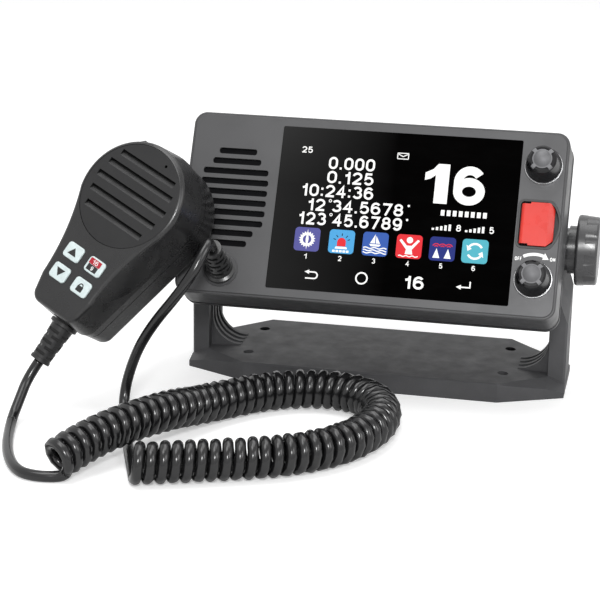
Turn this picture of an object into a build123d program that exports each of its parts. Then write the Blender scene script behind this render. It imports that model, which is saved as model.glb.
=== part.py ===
"""Fixed-mount VHF marine radio on its gimbal bracket, with a fist microphone and curly cord.

Millimetres, +Z up, the display faces -Y. The origin is the centre of the four bracket bolt
holes, on the underside of the bracket's base plate.
"""
from build123d import *
import math
import os

# ---- gimbal bracket -------------------------------------------------------------------------
BOLT_SPACING_X = 124.2
BOLT_SPACING_Y = 35.5
BOLT_HOLE_R = 2.6
PLATE_THICK = 9.3
PLATE_HALF_X = 61.3
PLATE_HALF_Y = 33.4
FOOT_X = 91.5
FOOT_HALF_Y = 19.8
FOOT_TIP_Z = 2.8
FOOT_TOP_HALF_Y = 13.5
FOOT_TOP_Z = 4.4
HEEL_SIDE_Z = 5.2
HEEL_TOP_HALF_Y = 14.6
HEEL_TOP_Z = 8.2
PLATE_CHAMFER = 0.6
ARM_INNER_X = 83.0
ARM_THICK = 8.2
ARM_HALF_Y = 13.5
LUG_THICK = 3.4
TAPER_FRONT_Z = 34.0
TAPER_REAR_Z = 47.0
TAPER_TOP_Z = 53.0
RIB_PITCH = 5.0
RIB_COUNT = 4
RIB_THICK = 2.2
RIB_ARC_R = 14.0
RIB_PROUD = 0.6
RIB_TOP_Z = 50.0
PIVOT_Z = 67.5
TILT = 29.0

# ---- clamp knobs ----------------------------------------------------------------------------
STUD_R = 2.95
STUD_CLEARANCE = 0.45
STUD_REACH = 12.0
COLLAR_R = 11.3
COLLAR_LENGTH = 5.8
CLAMP_KNOB_R = 16.9
CLAMP_KNOB_LENGTH = 10.4
CLAMP_NOTCHES = 10
CLAMP_GAP = 0.1
WASHER_R = 10.0
WASHER_THICK = 1.3

# ---- radio case, in the radio's own frame: x right, y back, z up the face --------------------
FACE_Y = -46.0
FACE_W = 173.4
FACE_H = 84.7
FACE_R = 5.0
FACE_THICK = 1.2
FACE_PROUD = 0.5
BEZEL_RIM_X = 1.6
BEZEL_RIM_Z = 1.55
BEZEL_R = 6.4
BEZEL_DEPTH = 20.5
BEZEL_DRAFT = 1.4
WALL = 2.2
GASKET_THICK = 0.8
FLANGE_THICK = 4.4
FLANGE_LIP = 0.3
CASE_W = 159.0
CASE_H = 57.0
CASE_BACK_Y = 24.0
CASE_WALL = 2.5
FIN_DEPTH = 10.0
FIN_THICK = 1.9
FIN_PITCH = 7.0
FIN_FIRST_X = -22.0
FIN_COUNT = 15
BOSS_R = 10.0
SCREW_INSET_X = 8.2
SCREW_INSET_Z = 4.35
SCREW_R = 1.4
SCREW_HEAD_R = 2.8
POST_R = 4.0
FIT = 0.1
RUNNING_GAP = 0.05

# ---- display and boards ---------------------------------------------------------------------
GLASS_W = 111.3
GLASS_H = 76.9
GLASS_X = 11.05
GLASS_Z = 0.1
GLASS_R = 0.8
GLASS_THICK = 1.4
WINDOW_X = 11.5
WINDOW_Z = 3.45
WINDOW_W = 97.0
WINDOW_H = 56.0
LCD_W = 105.5
LCD_H = 60.0
LCD_THICK = 4.0
BOARD_THICK = 1.6
CONTROL_BOARD_Y = -36.0
CONTROL_BOARD_X = (-46.2, 84.0)
CONTROL_BOARD_H = 64.0
STANDOFF_R = 2.2
STANDOFFS = ((-44.5, -24.0), (-44.5, 29.5), (67.4, -16.4), (67.4, 16.4))
MAIN_BOARD_Y = 9.0
BOARD_ROOM = 2.0

# ---- loudspeaker ----------------------------------------------------------------------------
SPEAKER_X = -65.0
SLOT_TOP_Z = 25.0
SLOT_PITCH = 4.88
SLOT_H = 2.9
SLOT_HALF_WIDTHS = (9.0, 11.5, 15.5, 16.0, 16.0, 16.0, 16.0, 15.5, 11.5, 9.0)
BAFFLE_W = 38.0
BAFFLE_H = 54.0
SPEAKER_R = 18.5
SPEAKER_DEPTH = 18.0

# ---- rotary controls: place, then sizes -----------------------------------------------------
SQUELCH_AT = (76.8, 27.2)
VOLUME_AT = (76.7, -25.4)
RING_R = 8.9
RING_BORE_R = 7.2
RING_THICK = 0.7
DIAL_R = 8.3
DIAL_TOP_R = 6.4
DIAL_H = 12.4
DIAL_GAP = 0.3
CAP_R = 4.4
CAP_LUG_R = 6.0
CAP_H = 1.8
SHAFT_R = 3.0
BUSHING_WALL = 1.15
ENCODER_SIDE = 12.0
ENCODER_H = 6.5

# ---- distress control -----------------------------------------------------------------------
WELL_LEFT_X = 68.2
WELL_CORNER_X = 82.0
WELL_BULGE_X = 86.0
WELL_HALF_H = 10.4
WELL_WALL = 0.9
WELL_FLOOR_Y = -41.5
WELL_FLOOR_THICK = 1.2
COVER_LEFT_X = 70.2
COVER_RIGHT_X = 83.8
COVER_HALF_H = 10.0
COVER_FRONT_Y = -46.9
COVER_THICK = 1.3
COVER_GAP = 0.4
HINGE_Y = -45.4
PIN_R = 0.6
BARREL_R = 1.5
SPRING_HALF_H = 2.6
SPRING_WIRE_R = 0.14
SPRING_TURNS = 6
SPRING_ROOM = 0.1
BUTTON_R = 5.0
BUTTON_X = 76.7
BUTTON_TOP_Y = -43.6

# ---- cord outlet on the face ----------------------------------------------------------------
GLAND_AT = (-66.7, -31.5)
GLAND_R = 8.2
GLAND_LIP = 1.6
GLAND_BODY_R = 6.0
BOOT_ANGLE = 14.85
BOOT_LENGTH = 20.7
BOOT_ROOT_R = 6.2
BOOT_TIP_R = 3.9

# ---- rear connectors ------------------------------------------------------------------------
ANTENNA_AT = (-62.0, 8.0)
ANTENNA_R = 7.9
ANTENNA_LENGTH = 12.0
DATA_AT = (-40.0, 8.0)
DATA_R = 6.0
DATA_LENGTH = 10.0
POWER_AT = (-62.0, -14.0)
POWER_R = 7.0
POWER_BORE_R = 3.6
POWER_LENGTH = 9.0

# ---- fist microphone, in its own frame: x right, y back, z up the face ------------------------
MIC_BESIDE = 16.83
MIC_Y = -76.73
MIC_RISE = 32.54
MIC_TURN = -13.1
MIC_LEAN = -32.0
MIC_ROLL = 22.6
MIC_HEAD_R = 28.3
MIC_TAIL_HALF_W = 15.8
MIC_TAIL_CORNER_R = 7.0
MIC_TAIL_DROP = 64.0
MIC_FRONT_DEPTH = 17.0
MIC_FRONT_TAPER = 1.9
MIC_DEPTH = 38.0
MIC_REAR_TAPER = 1.0
MIC_REAR_INSET = 0.4
MIC_GROOVE_Y = 22.4
MIC_GROOVE = 0.5
MIC_WALL = 2.2
MIC_FACE_WALL = 3.0
MIC_FRONT_ROUND = 2.4
MIC_REAR_ROUND = 4.5
NECK_AT = (124.0, -52.6)
NECK_R = 108.7
NECK_SLOPE = 0.273
NECK_WALL = 1.8
GRILLE_RIM = 3.6
GRILLE_THICK = 2.0
GRILLE_LEDGE = 3.0
LOUVRES = ((14.8, 16.5), (8.7, 19.4), (1.5, 21.0), (-5.6, 19.8), (-12.8, 17.3))
LOUVRE_H = 3.4
LOUVRE_DEPTH = 1.6
PINHOLE_RIM = 3.3
PINHOLE_ANGLE = 70.0
PINHOLE_R = 0.7
CAPSULE_R = 2.8
KEY_X = 6.8
KEY_ROWS = (-34.8, -45.8)
KEY_W = 9.5
KEY_H = 7.5
KEY_R = 1.6
KEY_PROUD = 0.9
KEY_TRAVEL = 0.6
KEY_STEM = 4.4
MIC_BOARD_Y = 6.0
PTT_ANGLE = 155.0
PTT_LENGTH = 30.0
PTT_Y = 20.2
PTT_WIDTH = 9.0
PTT_PROUD = 4.7
PTT_DEPTH = 9.0
PTT_TRAVEL = 1.5
PTT_GAP = 0.2
STUD_HEAD_R = 6.5
STUD_HEAD_H = 7.0
MIC_SCREW_RIM = 4.2
MIC_SCREW_ANGLE = 43.0
MIC_SCREW_RISE = 17.0
MIC_POST_R = 2.6
MIC_BOARD_RIM = 1.7
MIC_BOOT_Y = 17.0
MIC_BOOT_ROOT_R = 5.4
MIC_BOOT_TIP_R = 4.5
MIC_BOOT_END = 84.6
MIC_BOOT_ROWS = 5

# ---- cord -----------------------------------------------------------------------------------
CORD_R = 2.4
COIL_R = 8.75
FLOOR = 0.25
PANEL_ROUTE = (
    (-66.3, -82.0, 80.5),
    (-72.5, -91.0, 66.0),
    (-93.0, -91.0, 40.0),
    (-102.5, -88.0, 17.0),
    (-102.0, -96.0, CORD_R + FLOOR),
    (-90.0, -128.0, CORD_R + FLOOR),
    (-76.0, -165.0, CORD_R + FLOOR),
)
COIL_ROUTE = (
    (-108.2, -164.8, COIL_R + FLOOR),
    (-94.5, -151.5, 14.9),
    (-78.0, -119.5, 14.9),
    (-63.5, -90.0, COIL_R + FLOOR),
    (-40.0, -66.5, COIL_R + FLOOR),
    (-13.0, -57.5, COIL_R + FLOOR),
    (10.5, -67.0, COIL_R + FLOOR),
    (17.5, -92.0, COIL_R + FLOOR),
    (7.0, -121.0, COIL_R + FLOOR),
    (-13.0, -140.0, COIL_R + FLOOR),
    (-42.0, -151.5, COIL_R + FLOOR),
    (-75.8, -163.4, COIL_R + FLOOR),
)
MIC_TAIL_LEAD = 9.0
MIC_TAIL_ROUTE = (
    (-149.5, -117.0, CORD_R + FLOOR),
    (-140.0, -148.0, CORD_R + FLOOR),
    (-121.5, -174.5, CORD_R + FLOOR),
    (-104.0, -166.0, CORD_R + FLOOR),
)

# ---- derived places -------------------------------------------------------------------------
STUD_BORE_R = STUD_R + RUNNING_GAP
ARM_HOLE_R = STUD_R + STUD_CLEARANCE
BOSS_X = ARM_INNER_X - WASHER_THICK - FIT
BEZEL_W = FACE_W + 2 * BEZEL_RIM_X
BEZEL_H = FACE_H + 2 * BEZEL_RIM_Z
FLANGE_W = BEZEL_W + 2 * FLANGE_LIP
FLANGE_H = BEZEL_H + 2 * FLANGE_LIP
SCREW_X = FACE_W / 2 - SCREW_INSET_X
SCREW_Z = FACE_H / 2 - SCREW_INSET_Z
MAIN_BOARD_W = CASE_W - 2 * CASE_WALL - 2 * BOARD_ROOM
MAIN_BOARD_H = CASE_H - 2 * CASE_WALL - 2 * BOARD_ROOM
SHAFT_BORE_R = SHAFT_R + RUNNING_GAP
BUSHING_R = SHAFT_BORE_R + BUSHING_WALL
PIN_BORE_R = PIN_R + RUNNING_GAP
GRILLE_R = MIC_HEAD_R - GRILLE_RIM
PTT_OUTER_R = MIC_HEAD_R + PTT_PROUD
PTT_INNER_R = PTT_OUTER_R - PTT_DEPTH
ARM_OUTER_X = ARM_INNER_X + ARM_THICK
LUG_OUTER_X = ARM_INNER_X + LUG_THICK
PLATE_BACK_Y = FACE_Y + FACE_THICK
BEZEL_FRONT_Y = FACE_Y + FACE_PROUD
BEZEL_BACK_Y = BEZEL_FRONT_Y + BEZEL_DEPTH
FRONT_WALL_Y = PLATE_BACK_Y + WALL
FLANGE_FRONT_Y = BEZEL_BACK_Y + GASKET_THICK
FLANGE_BACK_Y = FLANGE_FRONT_Y + FLANGE_THICK
SLOT_MID_Z = SLOT_TOP_Z - SLOT_PITCH * (len(SLOT_HALF_WIDTHS) - 1) / 2
WELL_BOTTOM_Y = WELL_FLOOR_Y + WELL_FLOOR_THICK
RADIO = Pos(0, 0, PIVOT_Z) * Rot(X=-TILT)
MIC_AT = (-FACE_W / 2 - MIC_BESIDE, MIC_Y, PIVOT_Z + MIC_RISE)
MIC = Pos(*MIC_AT) * Rot(Z=MIC_TURN) * Rot(X=MIC_LEAN) * Rot(Y=MIC_ROLL)


# ---- helpers --------------------------------------------------------------------------------
def slab(sketch, front, back, taper=0.0):
    """A sketch drawn on the face (x, z), from depth `back` forward to depth `front`."""
    return extrude(Plane.XZ.offset(-back) * sketch, back - front, taper=taper)


def rear_slab(sketch, front, back, taper=0.0):
    """The same, drafted towards the back; the sketch must be symmetrical left to right."""
    plane = Plane(origin=(0, front, 0), x_dir=(-1, 0, 0), z_dir=(0, 1, 0))
    return extrude(plane * sketch, back - front, taper=taper)


def rod(x, z, radius, front, back):
    """A cylinder along the depth direction."""
    return slab(Pos(x, z) * Circle(radius), front, back)


def turned(points, x=0.0, z=0.0, y=0.0):
    """A revolved piece: (radius, depth) pairs round an axis along the depth direction."""
    profile = make_face(Polyline(*[(r, d, 0) for r, d in points], close=True))
    return Pos(x, y, z) * revolve(profile, Axis.Y)


def rounded(width, height, radius):
    return RectangleRounded(width, height, min(radius, 0.49 * min(width, height)))


def bend_radii(points):
    """A fillet radius for each inner corner: 0.45 of the shorter run over tan(half turn)."""
    radii = []
    for before, here, after in zip(points, points[1:], points[2:]):
        run_in = Vector(*here) - Vector(*before)
        run_out = Vector(*after) - Vector(*here)
        half = math.radians(run_in.get_angle(run_out)) / 2
        radii.append(0.45 * min(run_in.length, run_out.length) / math.tan(half))
    return radii


def tube(points, radius):
    """A round tube along a polyline whose corners are filleted."""
    route = FilletPolyline(*points, radius=bend_radii(points))
    start = Plane(origin=route @ 0, z_dir=route % 0)
    return sweep(start * Circle(radius), route)


def both_sides(piece):
    return {"left": piece.mirror(Plane.YZ), "right": piece}


def polar(radius, degrees):
    angle = math.radians(degrees)
    return (radius * math.cos(angle), radius * math.sin(angle))


# ---- bracket --------------------------------------------------------------------------------
def bracket_arm():
    """The right arm: a round-ended strap, thick low down and cut back to a thin lug on top."""
    outline = Pos(0, PIVOT_Z / 2) * Rectangle(2 * ARM_HALF_Y, PIVOT_Z)
    outline += Pos(0, PIVOT_Z) * Circle(ARM_HALF_Y)
    strap = Pos(ARM_INNER_X, 0, 0) * extrude(Plane.YZ * outline, ARM_THICK)
    strap = chamfer(strap.faces().sort_by(Axis.X)[-1].edges(), 1.0)
    front = Vector(ARM_OUTER_X, -ARM_HALF_Y, TAPER_FRONT_Z)
    rear = Vector(ARM_OUTER_X, ARM_HALF_Y, TAPER_REAR_Z)
    top = Vector(LUG_OUTER_X, 0, TAPER_TOP_Z)
    along = rear - front
    normal = along.cross(top - front)
    if normal.X < 0:
        normal = -normal
    facet = Plane(origin=front, x_dir=along, z_dir=normal)
    beyond = facet * Box(200, 200, 60, align=(Align.CENTER, Align.CENTER, Align.MIN))
    inner = Box(2 * LUG_OUTER_X, 200, 400)
    strap -= beyond - inner
    hole = Pos(ARM_INNER_X, 0, PIVOT_Z) * Rot(Y=90) * Cylinder(ARM_HOLE_R, 4 * ARM_THICK)
    return strap - hole


def bracket_rib():
    """One rib: it runs up the arm's inner face and sweeps onto the plate in a hollow arc."""
    corner = (ARM_INNER_X + 1, HEEL_TOP_Z - 1)
    foot = ARM_INNER_X - RIB_ARC_R - RIB_PROUD
    face = ARM_INNER_X - RIB_PROUD
    outline = Polyline(
        (foot, PLATE_THICK),
        (foot, corner[1]),
        corner,
        (corner[0], RIB_TOP_Z),
        (face, RIB_TOP_Z - RIB_PROUD - 1),
        (face, PLATE_THICK + RIB_ARC_R),
    )
    hollow = RadiusArc((face, PLATE_THICK + RIB_ARC_R), (foot, PLATE_THICK), RIB_ARC_R)
    section = Plane.XZ * make_face(outline + hollow)
    return extrude(section, RIB_THICK / 2, both=True)


def wing_section(x, half_y, side_z, top_half_y, top_z):
    """A cross-section of the right wing: upright sides, a sloping shoulder, a flat top."""
    half = [(half_y, 0), (half_y, side_z), (top_half_y, top_z)]
    other = [(-y, z) for y, z in reversed(half)]
    return Plane.YZ.offset(x) * make_face(Polyline(*half, *other, close=True))


def bracket_wing():
    """The plate's right end, narrowing and thinning under the arm to the foot's tip."""
    heel_half_y = PLATE_HALF_Y + (FOOT_HALF_Y - PLATE_HALF_Y) * (
        (ARM_INNER_X - PLATE_HALF_X) / (FOOT_X - PLATE_HALF_X)
    )
    plate_side_z = PLATE_THICK - PLATE_CHAMFER
    root = wing_section(PLATE_HALF_X, PLATE_HALF_Y, plate_side_z, PLATE_HALF_Y - PLATE_CHAMFER, PLATE_THICK)
    heel = wing_section(ARM_INNER_X, heel_half_y, HEEL_SIDE_Z, HEEL_TOP_HALF_Y, HEEL_TOP_Z)
    tip = wing_section(FOOT_X, FOOT_HALF_Y, FOOT_TIP_Z, FOOT_TOP_HALF_Y, FOOT_TOP_Z)
    return loft([root, heel], ruled=True) + loft([heel, tip], ruled=True)


def bracket():
    middle = wing_section(
        -PLATE_HALF_X, PLATE_HALF_Y, PLATE_THICK - PLATE_CHAMFER, PLATE_HALF_Y - PLATE_CHAMFER, PLATE_THICK
    )
    body = extrude(middle, 2 * PLATE_HALF_X)
    side = bracket_wing() + bracket_arm()
    for index in range(RIB_COUNT):
        offset = (index - (RIB_COUNT - 1) / 2) * RIB_PITCH
        side += Pos(0, offset, 0) * bracket_rib()
    body += side
    body += side.mirror(Plane.YZ)
    for spot in GridLocations(BOLT_SPACING_X, BOLT_SPACING_Y, 2, 2):
        body -= spot * Cylinder(BOLT_HOLE_R, 4 * PLATE_THICK)
    return body


# ---- clamp knobs ----------------------------------------------------------------------------
def clamp_knob():
    """The right clamp knob: a stepped collar and a wide grip with finger notches."""
    start = LUG_OUTER_X + CLAMP_GAP
    shoulder = start + COLLAR_LENGTH
    end = shoulder + CLAMP_KNOB_LENGTH
    profile = Polyline(
        (start, 0),
        (start, COLLAR_R - 1.2),
        (start + 2.2, COLLAR_R - 1.2),
        (start + 2.2, COLLAR_R),
        (shoulder, COLLAR_R),
        (shoulder, CLAMP_KNOB_R),
        (end, CLAMP_KNOB_R - 0.8),
        (end, 0),
        close=True,
    )
    knob = revolve(make_face(profile), Axis.X)
    rims = [e for e in knob.edges().filter_by(GeomType.CIRCLE) if e.radius > COLLAR_R + 1]
    knob = fillet(rims, 1.4)
    notch_r = 7.0
    for index in range(CLAMP_NOTCHES):
        cut = Pos(end, 0, CLAMP_KNOB_R + notch_r - 1.1) * Rot(Y=90) * Cylinder(notch_r, 12.0)
        knob -= Rot(X=360 / CLAMP_NOTCHES * (index + 0.5)) * cut
    knob -= Pos(end - 3, 0, 0) * Rot(Y=90) * Cylinder(STUD_R, 2 * (end - start))
    knob += Pos(end - 1.5, 0, 0) * Rot(Y=90) * Cylinder(STUD_R + 0.5, 3.0)
    return Pos(0, 0, PIVOT_Z) * knob


def clamp_stud():
    end = LUG_OUTER_X + CLAMP_GAP + COLLAR_LENGTH + CLAMP_KNOB_LENGTH - 3
    tip = BOSS_X - STUD_REACH
    stud = Pos((tip + end) / 2, 0, 0) * Rot(Y=90) * Cylinder(STUD_R, end - tip)
    stud = chamfer(stud.edges().sort_by(Axis.X)[0], 0.6)
    return Pos(0, 0, PIVOT_Z) * stud


def pivot_washer():
    ring = Cylinder(WASHER_R, WASHER_THICK) - Cylinder(ARM_HOLE_R, 3 * WASHER_THICK)
    return RADIO * (Pos(BOSS_X + WASHER_THICK / 2, 0, 0) * Rot(Y=90) * ring)


# ---- radio case -----------------------------------------------------------------------------
def well_outline(grow):
    """The D-shaped recess of the distress control, grown outwards by `grow`."""
    straight = Polyline(
        (WELL_CORNER_X, WELL_HALF_H),
        (WELL_LEFT_X, WELL_HALF_H),
        (WELL_LEFT_X, -WELL_HALF_H),
        (WELL_CORNER_X, -WELL_HALF_H),
    )
    bulge = ThreePointArc(
        (WELL_CORNER_X, -WELL_HALF_H), (WELL_BULGE_X, 0), (WELL_CORNER_X, WELL_HALF_H)
    )
    shape = make_face(straight + bulge)
    shape = fillet(shape.vertices(), 1.8)
    return offset(shape, grow) if grow else shape


def face_openings(grow):
    """What passes through the face: well, rotary bushings and the cord gland."""
    shape = Sketch() + well_outline(WELL_WALL + FIT)
    for x, z in (SQUELCH_AT, VOLUME_AT):
        shape += Pos(x, z) * Circle(BUSHING_R + grow)
    shape += Pos(*GLAND_AT) * Circle(GLAND_BODY_R + grow)
    return shape


def front_bezel():
    outer = slab(rounded(BEZEL_W, BEZEL_H, BEZEL_R), BEZEL_FRONT_Y, BEZEL_BACK_Y, BEZEL_DRAFT)
    outer = fillet(outer.faces().sort_by(Axis.Y)[0].edges(), 0.7)
    room = rounded(BEZEL_W - 2 * WALL, BEZEL_H - 2 * WALL, BEZEL_R - WALL)
    body = outer - slab(room, FRONT_WALL_Y, BEZEL_BACK_Y, BEZEL_DRAFT)
    for x, z in screw_places():
        post = rod(x, z, POST_R, FRONT_WALL_Y - 1, BEZEL_BACK_Y) & outer
        body += post
        body -= rod(x, z, SCREW_R, BEZEL_BACK_Y - 10, BEZEL_BACK_Y)
    for x, z in STANDOFFS:
        body += rod(x, z, STANDOFF_R, FRONT_WALL_Y - 1, CONTROL_BOARD_Y)
        body -= rod(x, z, 1.0, CONTROL_BOARD_Y - 5, CONTROL_BOARD_Y)
    body -= slab(rounded(FACE_W + FIT, FACE_H + FIT, FACE_R), BEZEL_FRONT_Y - 1, PLATE_BACK_Y)
    through = face_openings(FIT) + Pos(WINDOW_X, WINDOW_Z) * Rectangle(WINDOW_W, WINDOW_H)
    through += Pos(SPEAKER_X, SLOT_MID_Z) * rounded(BAFFLE_W, BAFFLE_H, 3.0)
    body -= slab(well_outline(WELL_WALL + FIT), PLATE_BACK_Y - 1, WELL_BOTTOM_Y + FIT)
    return body - slab(through, PLATE_BACK_Y - 1, FRONT_WALL_Y + 1)


def screw_places():
    return [(x, z) for x in (-SCREW_X, 0.0, SCREW_X) for z in (-SCREW_Z, SCREW_Z)]


def face_plate():
    plate = slab(rounded(FACE_W, FACE_H, FACE_R), FACE_Y, PLATE_BACK_Y)
    plate = chamfer(plate.faces().sort_by(Axis.Y)[0].edges(), 0.35)
    holes = face_openings(FIT)
    holes += Pos(GLASS_X, GLASS_Z) * rounded(GLASS_W + FIT, GLASS_H + FIT, GLASS_R)
    for row, half_width in enumerate(SLOT_HALF_WIDTHS):
        spot = Pos(SPEAKER_X, SLOT_TOP_Z - row * SLOT_PITCH)
        holes += spot * rounded(2 * half_width, SLOT_H, 1.2)
    return plate - slab(holes, FACE_Y - 1, PLATE_BACK_Y + 1)


def speaker_baffle():
    sheet = rounded(BAFFLE_W - FIT, BAFFLE_H - FIT, 3.0)
    return slab(Pos(SPEAKER_X, SLOT_MID_Z) * sheet, FRONT_WALL_Y - 0.9, FRONT_WALL_Y)


def speaker():
    """The loudspeaker: rim, tapered basket, magnet and a hollow cone."""
    rim, magnet = SPEAKER_R, 0.5 * SPEAKER_R
    profile = (
        (4.0, 6.0),
        (rim - 2.5, 1.0),
        (rim - 2.5, 0.0),
        (rim, 0.0),
        (rim, 1.6),
        (magnet + 2.0, 9.5),
        (magnet, 9.5),
        (magnet, SPEAKER_DEPTH),
        (0.0, SPEAKER_DEPTH),
        (0.0, 6.0),
    )
    return turned(profile, SPEAKER_X, SLOT_MID_Z, FRONT_WALL_Y)


def housing_gasket():
    ring = rounded(FLANGE_W - 1.2, FLANGE_H - 1.2, BEZEL_R)
    ring -= rounded(BEZEL_W - 2 * WALL - 0.6, BEZEL_H - 2 * WALL - 0.6, BEZEL_R - WALL)
    return slab(ring, BEZEL_BACK_Y, FLANGE_FRONT_Y)


def rear_housing():
    """The cast rear case: flange, hollow body, upright cooling fins and two pivot bosses."""
    flange = slab(rounded(FLANGE_W, FLANGE_H, BEZEL_R + 0.2), FLANGE_FRONT_Y, FLANGE_BACK_Y)
    flange = fillet(flange.faces().sort_by(Axis.Y)[-1].edges(), 1.2)
    case = rear_slab(rounded(CASE_W, CASE_H, 4.0), FLANGE_BACK_Y - 1, CASE_BACK_Y)
    body = flange + case
    for index in range(FIN_COUNT):
        x = FIN_FIRST_X + index * FIN_PITCH
        body += slab(Pos(x, 0) * Rectangle(FIN_THICK, CASE_H), CASE_BACK_Y - 1, CASE_BACK_Y + FIN_DEPTH)
    for side in (-1, 1):
        face = side * BOSS_X
        root = side * (CASE_W / 2 - CASE_WALL)
        length = abs(face - root)
        body += Pos((face + root) / 2, 0, 0) * Rot(Y=90) * Cylinder(BOSS_R, length)
    room = rounded(CASE_W - 2 * CASE_WALL, CASE_H - 2 * CASE_WALL, 2.5)
    body -= slab(room, FLANGE_FRONT_Y - 1, CASE_BACK_Y - CASE_WALL)
    for side in (-1, 1):
        seat = CASE_W / 2 - CASE_WALL
        length = STUD_REACH + 3.0
        blind = Pos(side * (seat + 1 - length / 2), 0, 0) * Rot(Y=90) * Cylinder(6.5, length)
        body += blind
        bore = STUD_REACH + 0.6
        body -= Pos(side * (BOSS_X - bore / 2), 0, 0) * Rot(Y=90) * Cylinder(STUD_BORE_R, bore)
    for x, z in board_posts():
        body += rod(x, z, 3.0, MAIN_BOARD_Y + BOARD_THICK, CASE_BACK_Y - CASE_WALL)
        body -= rod(x, z, 1.0, MAIN_BOARD_Y, MAIN_BOARD_Y + BOARD_THICK + 6)
    for x, z in screw_places():
        body -= rod(x, z, SCREW_R + FIT, FLANGE_FRONT_Y - 1, FLANGE_BACK_Y + 1)
    x, z = POWER_AT
    return body - rod(x, z, POWER_BORE_R, CASE_BACK_Y - CASE_WALL - 1, CASE_BACK_Y + 1)


def board_posts():
    reach_x = MAIN_BOARD_W / 2 - 6
    reach_z = MAIN_BOARD_H / 2 - 5
    return [(x, z) for x in (-reach_x, reach_x) for z in (-reach_z, reach_z)]


def screw(x, z, head_r, shank_r, seat, length, head=1.8):
    """A pan-head screw driven towards the face, its head resting at depth `seat`."""
    body = turned([(0, 0), (head_r, 0), (head_r, 0.6 * head), (0.7 * head_r, head), (0, head)], x, z, seat)
    return body + rod(x, z, shank_r, seat - length, seat + 0.1)


def housing_screws():
    return [screw(x, z, SCREW_HEAD_R, SCREW_R, FLANGE_BACK_Y, 14.0) for x, z in screw_places()]


def board_screws():
    front = [screw(x, z, 2.1, 1.0, CONTROL_BOARD_Y + BOARD_THICK, 6.0, 1.4) for x, z in STANDOFFS]
    board = [Rot(X=180) * screw(x, -z, 2.1, 1.0, -MAIN_BOARD_Y, 6.0, 1.4) for x, z in board_posts()]
    return front + board


# ---- display and electronics ----------------------------------------------------------------
def display_glass():
    pane = Pos(GLASS_X, GLASS_Z) * rounded(GLASS_W, GLASS_H, GLASS_R)
    glass = slab(pane, PLATE_BACK_Y - GLASS_THICK, PLATE_BACK_Y)
    return chamfer(glass.faces().sort_by(Axis.Y)[0].edges(), 0.2)


def lcd_module():
    return slab(Pos(WINDOW_X, WINDOW_Z) * rounded(LCD_W, LCD_H, 1.0), FRONT_WALL_Y, FRONT_WALL_Y + LCD_THICK)


def control_board():
    left, right = CONTROL_BOARD_X
    sheet = Pos((left + right) / 2, 1.0) * Rectangle(right - left, CONTROL_BOARD_H)
    for x, z in STANDOFFS:
        sheet -= Pos(x, z) * Circle(1.0)
    board = slab(sheet, CONTROL_BOARD_Y, CONTROL_BOARD_Y + BOARD_THICK)
    back = CONTROL_BOARD_Y + BOARD_THICK
    for x, z, width, height in ((-10, 5, 22, 22), (30, -8, 14, 14), (52, 12, 8, 16)):
        board += slab(Pos(x, z) * Rectangle(width, height), back, back + 1.6)
    return board


def main_board():
    sheet = Rectangle(MAIN_BOARD_W, MAIN_BOARD_H)
    for x, z in board_posts():
        sheet -= Pos(x, z) * Circle(1.0)
    board = slab(sheet, MAIN_BOARD_Y, MAIN_BOARD_Y + BOARD_THICK)
    for x, z, width, height, tall in ((-35, 0, 40, 30, 9), (15, 4, 28, 28, 3), (50, -4, 14, 20, 7)):
        board += slab(Pos(x, z) * Rectangle(width, height), MAIN_BOARD_Y - tall, MAIN_BOARD_Y)
    return board


# ---- rotary controls ------------------------------------------------------------------------
def dial_ring(place):
    profile = (
        (RING_BORE_R, 0.0),
        (RING_R, 0.0),
        (RING_R - 0.4, -RING_THICK),
        (RING_BORE_R, -RING_THICK),
    )
    return turned(profile, *place, FACE_Y)


def encoder(place):
    x, z = place
    body = slab(Pos(x, z) * rounded(ENCODER_SIDE, ENCODER_SIDE, 1.0), FRONT_WALL_Y, FRONT_WALL_Y + ENCODER_H)
    body += rod(x, z, BUSHING_R, FACE_Y - 0.4, FRONT_WALL_Y + 1)
    return body - rod(x, z, SHAFT_BORE_R, FACE_Y - 1, FRONT_WALL_Y + ENCODER_H - 2)


def dial(place):
    """The knob: a tapered glossy skirt, lightly fluted, with a seat for its cap."""
    bottom = -(RING_THICK + DIAL_GAP)
    top = -DIAL_H
    profile = (
        (0.0, bottom),
        (DIAL_R, bottom),
        (DIAL_R, bottom - 0.8),
        (DIAL_R - 0.7, bottom - 4.5),
        (DIAL_TOP_R, top + 0.9),
        (DIAL_TOP_R - 0.9, top),
        (0.0, top),
    )
    knob = turned(profile)
    for index in range(18):
        groove = Pos(0, -8.0, DIAL_R + 0.15) * Rot(X=12) * Box(0.7, 9.0, 1.0)
        knob -= Rot(Y=20 * index) * groove
    knob -= rod(0, 0, SHAFT_R, top + 1.5, bottom)
    return Pos(place[0], FACE_Y, place[1]) * (knob - dial_cap_seat(top))


def dial_cap_seat(top):
    outline = Circle(CAP_R)
    for index in range(4):
        outline += Rot(Z=45 + 90 * index) * (Pos(CAP_LUG_R / 2, 0) * Rectangle(CAP_LUG_R, 1.8))
    return slab(outline, top - 1, top + 0.6)


def dial_cap(place):
    """The pale cap: a dome with four locating lugs."""
    top = -DIAL_H
    seat = dial_cap_seat(top) & slab(Circle(DIAL_R), top, top + 0.6)
    rise = CAP_H
    ball_r = (CAP_R**2 + rise**2) / (2 * rise)
    dome = Pos(0, top + ball_r - rise, 0) * Sphere(ball_r)
    dome &= slab(Circle(CAP_R), top - rise - 1, top + 0.1)
    lugs = slab(Circle(CAP_LUG_R - 0.5) - Circle(CAP_R - 0.5), top - 0.5, top + 0.6) & slab(
        Circle(DIAL_R), top - 0.5, top + 0.6
    )
    lugs &= dial_cap_seat(top)
    return Pos(place[0], FACE_Y, place[1]) * (seat + dome + lugs)


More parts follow.
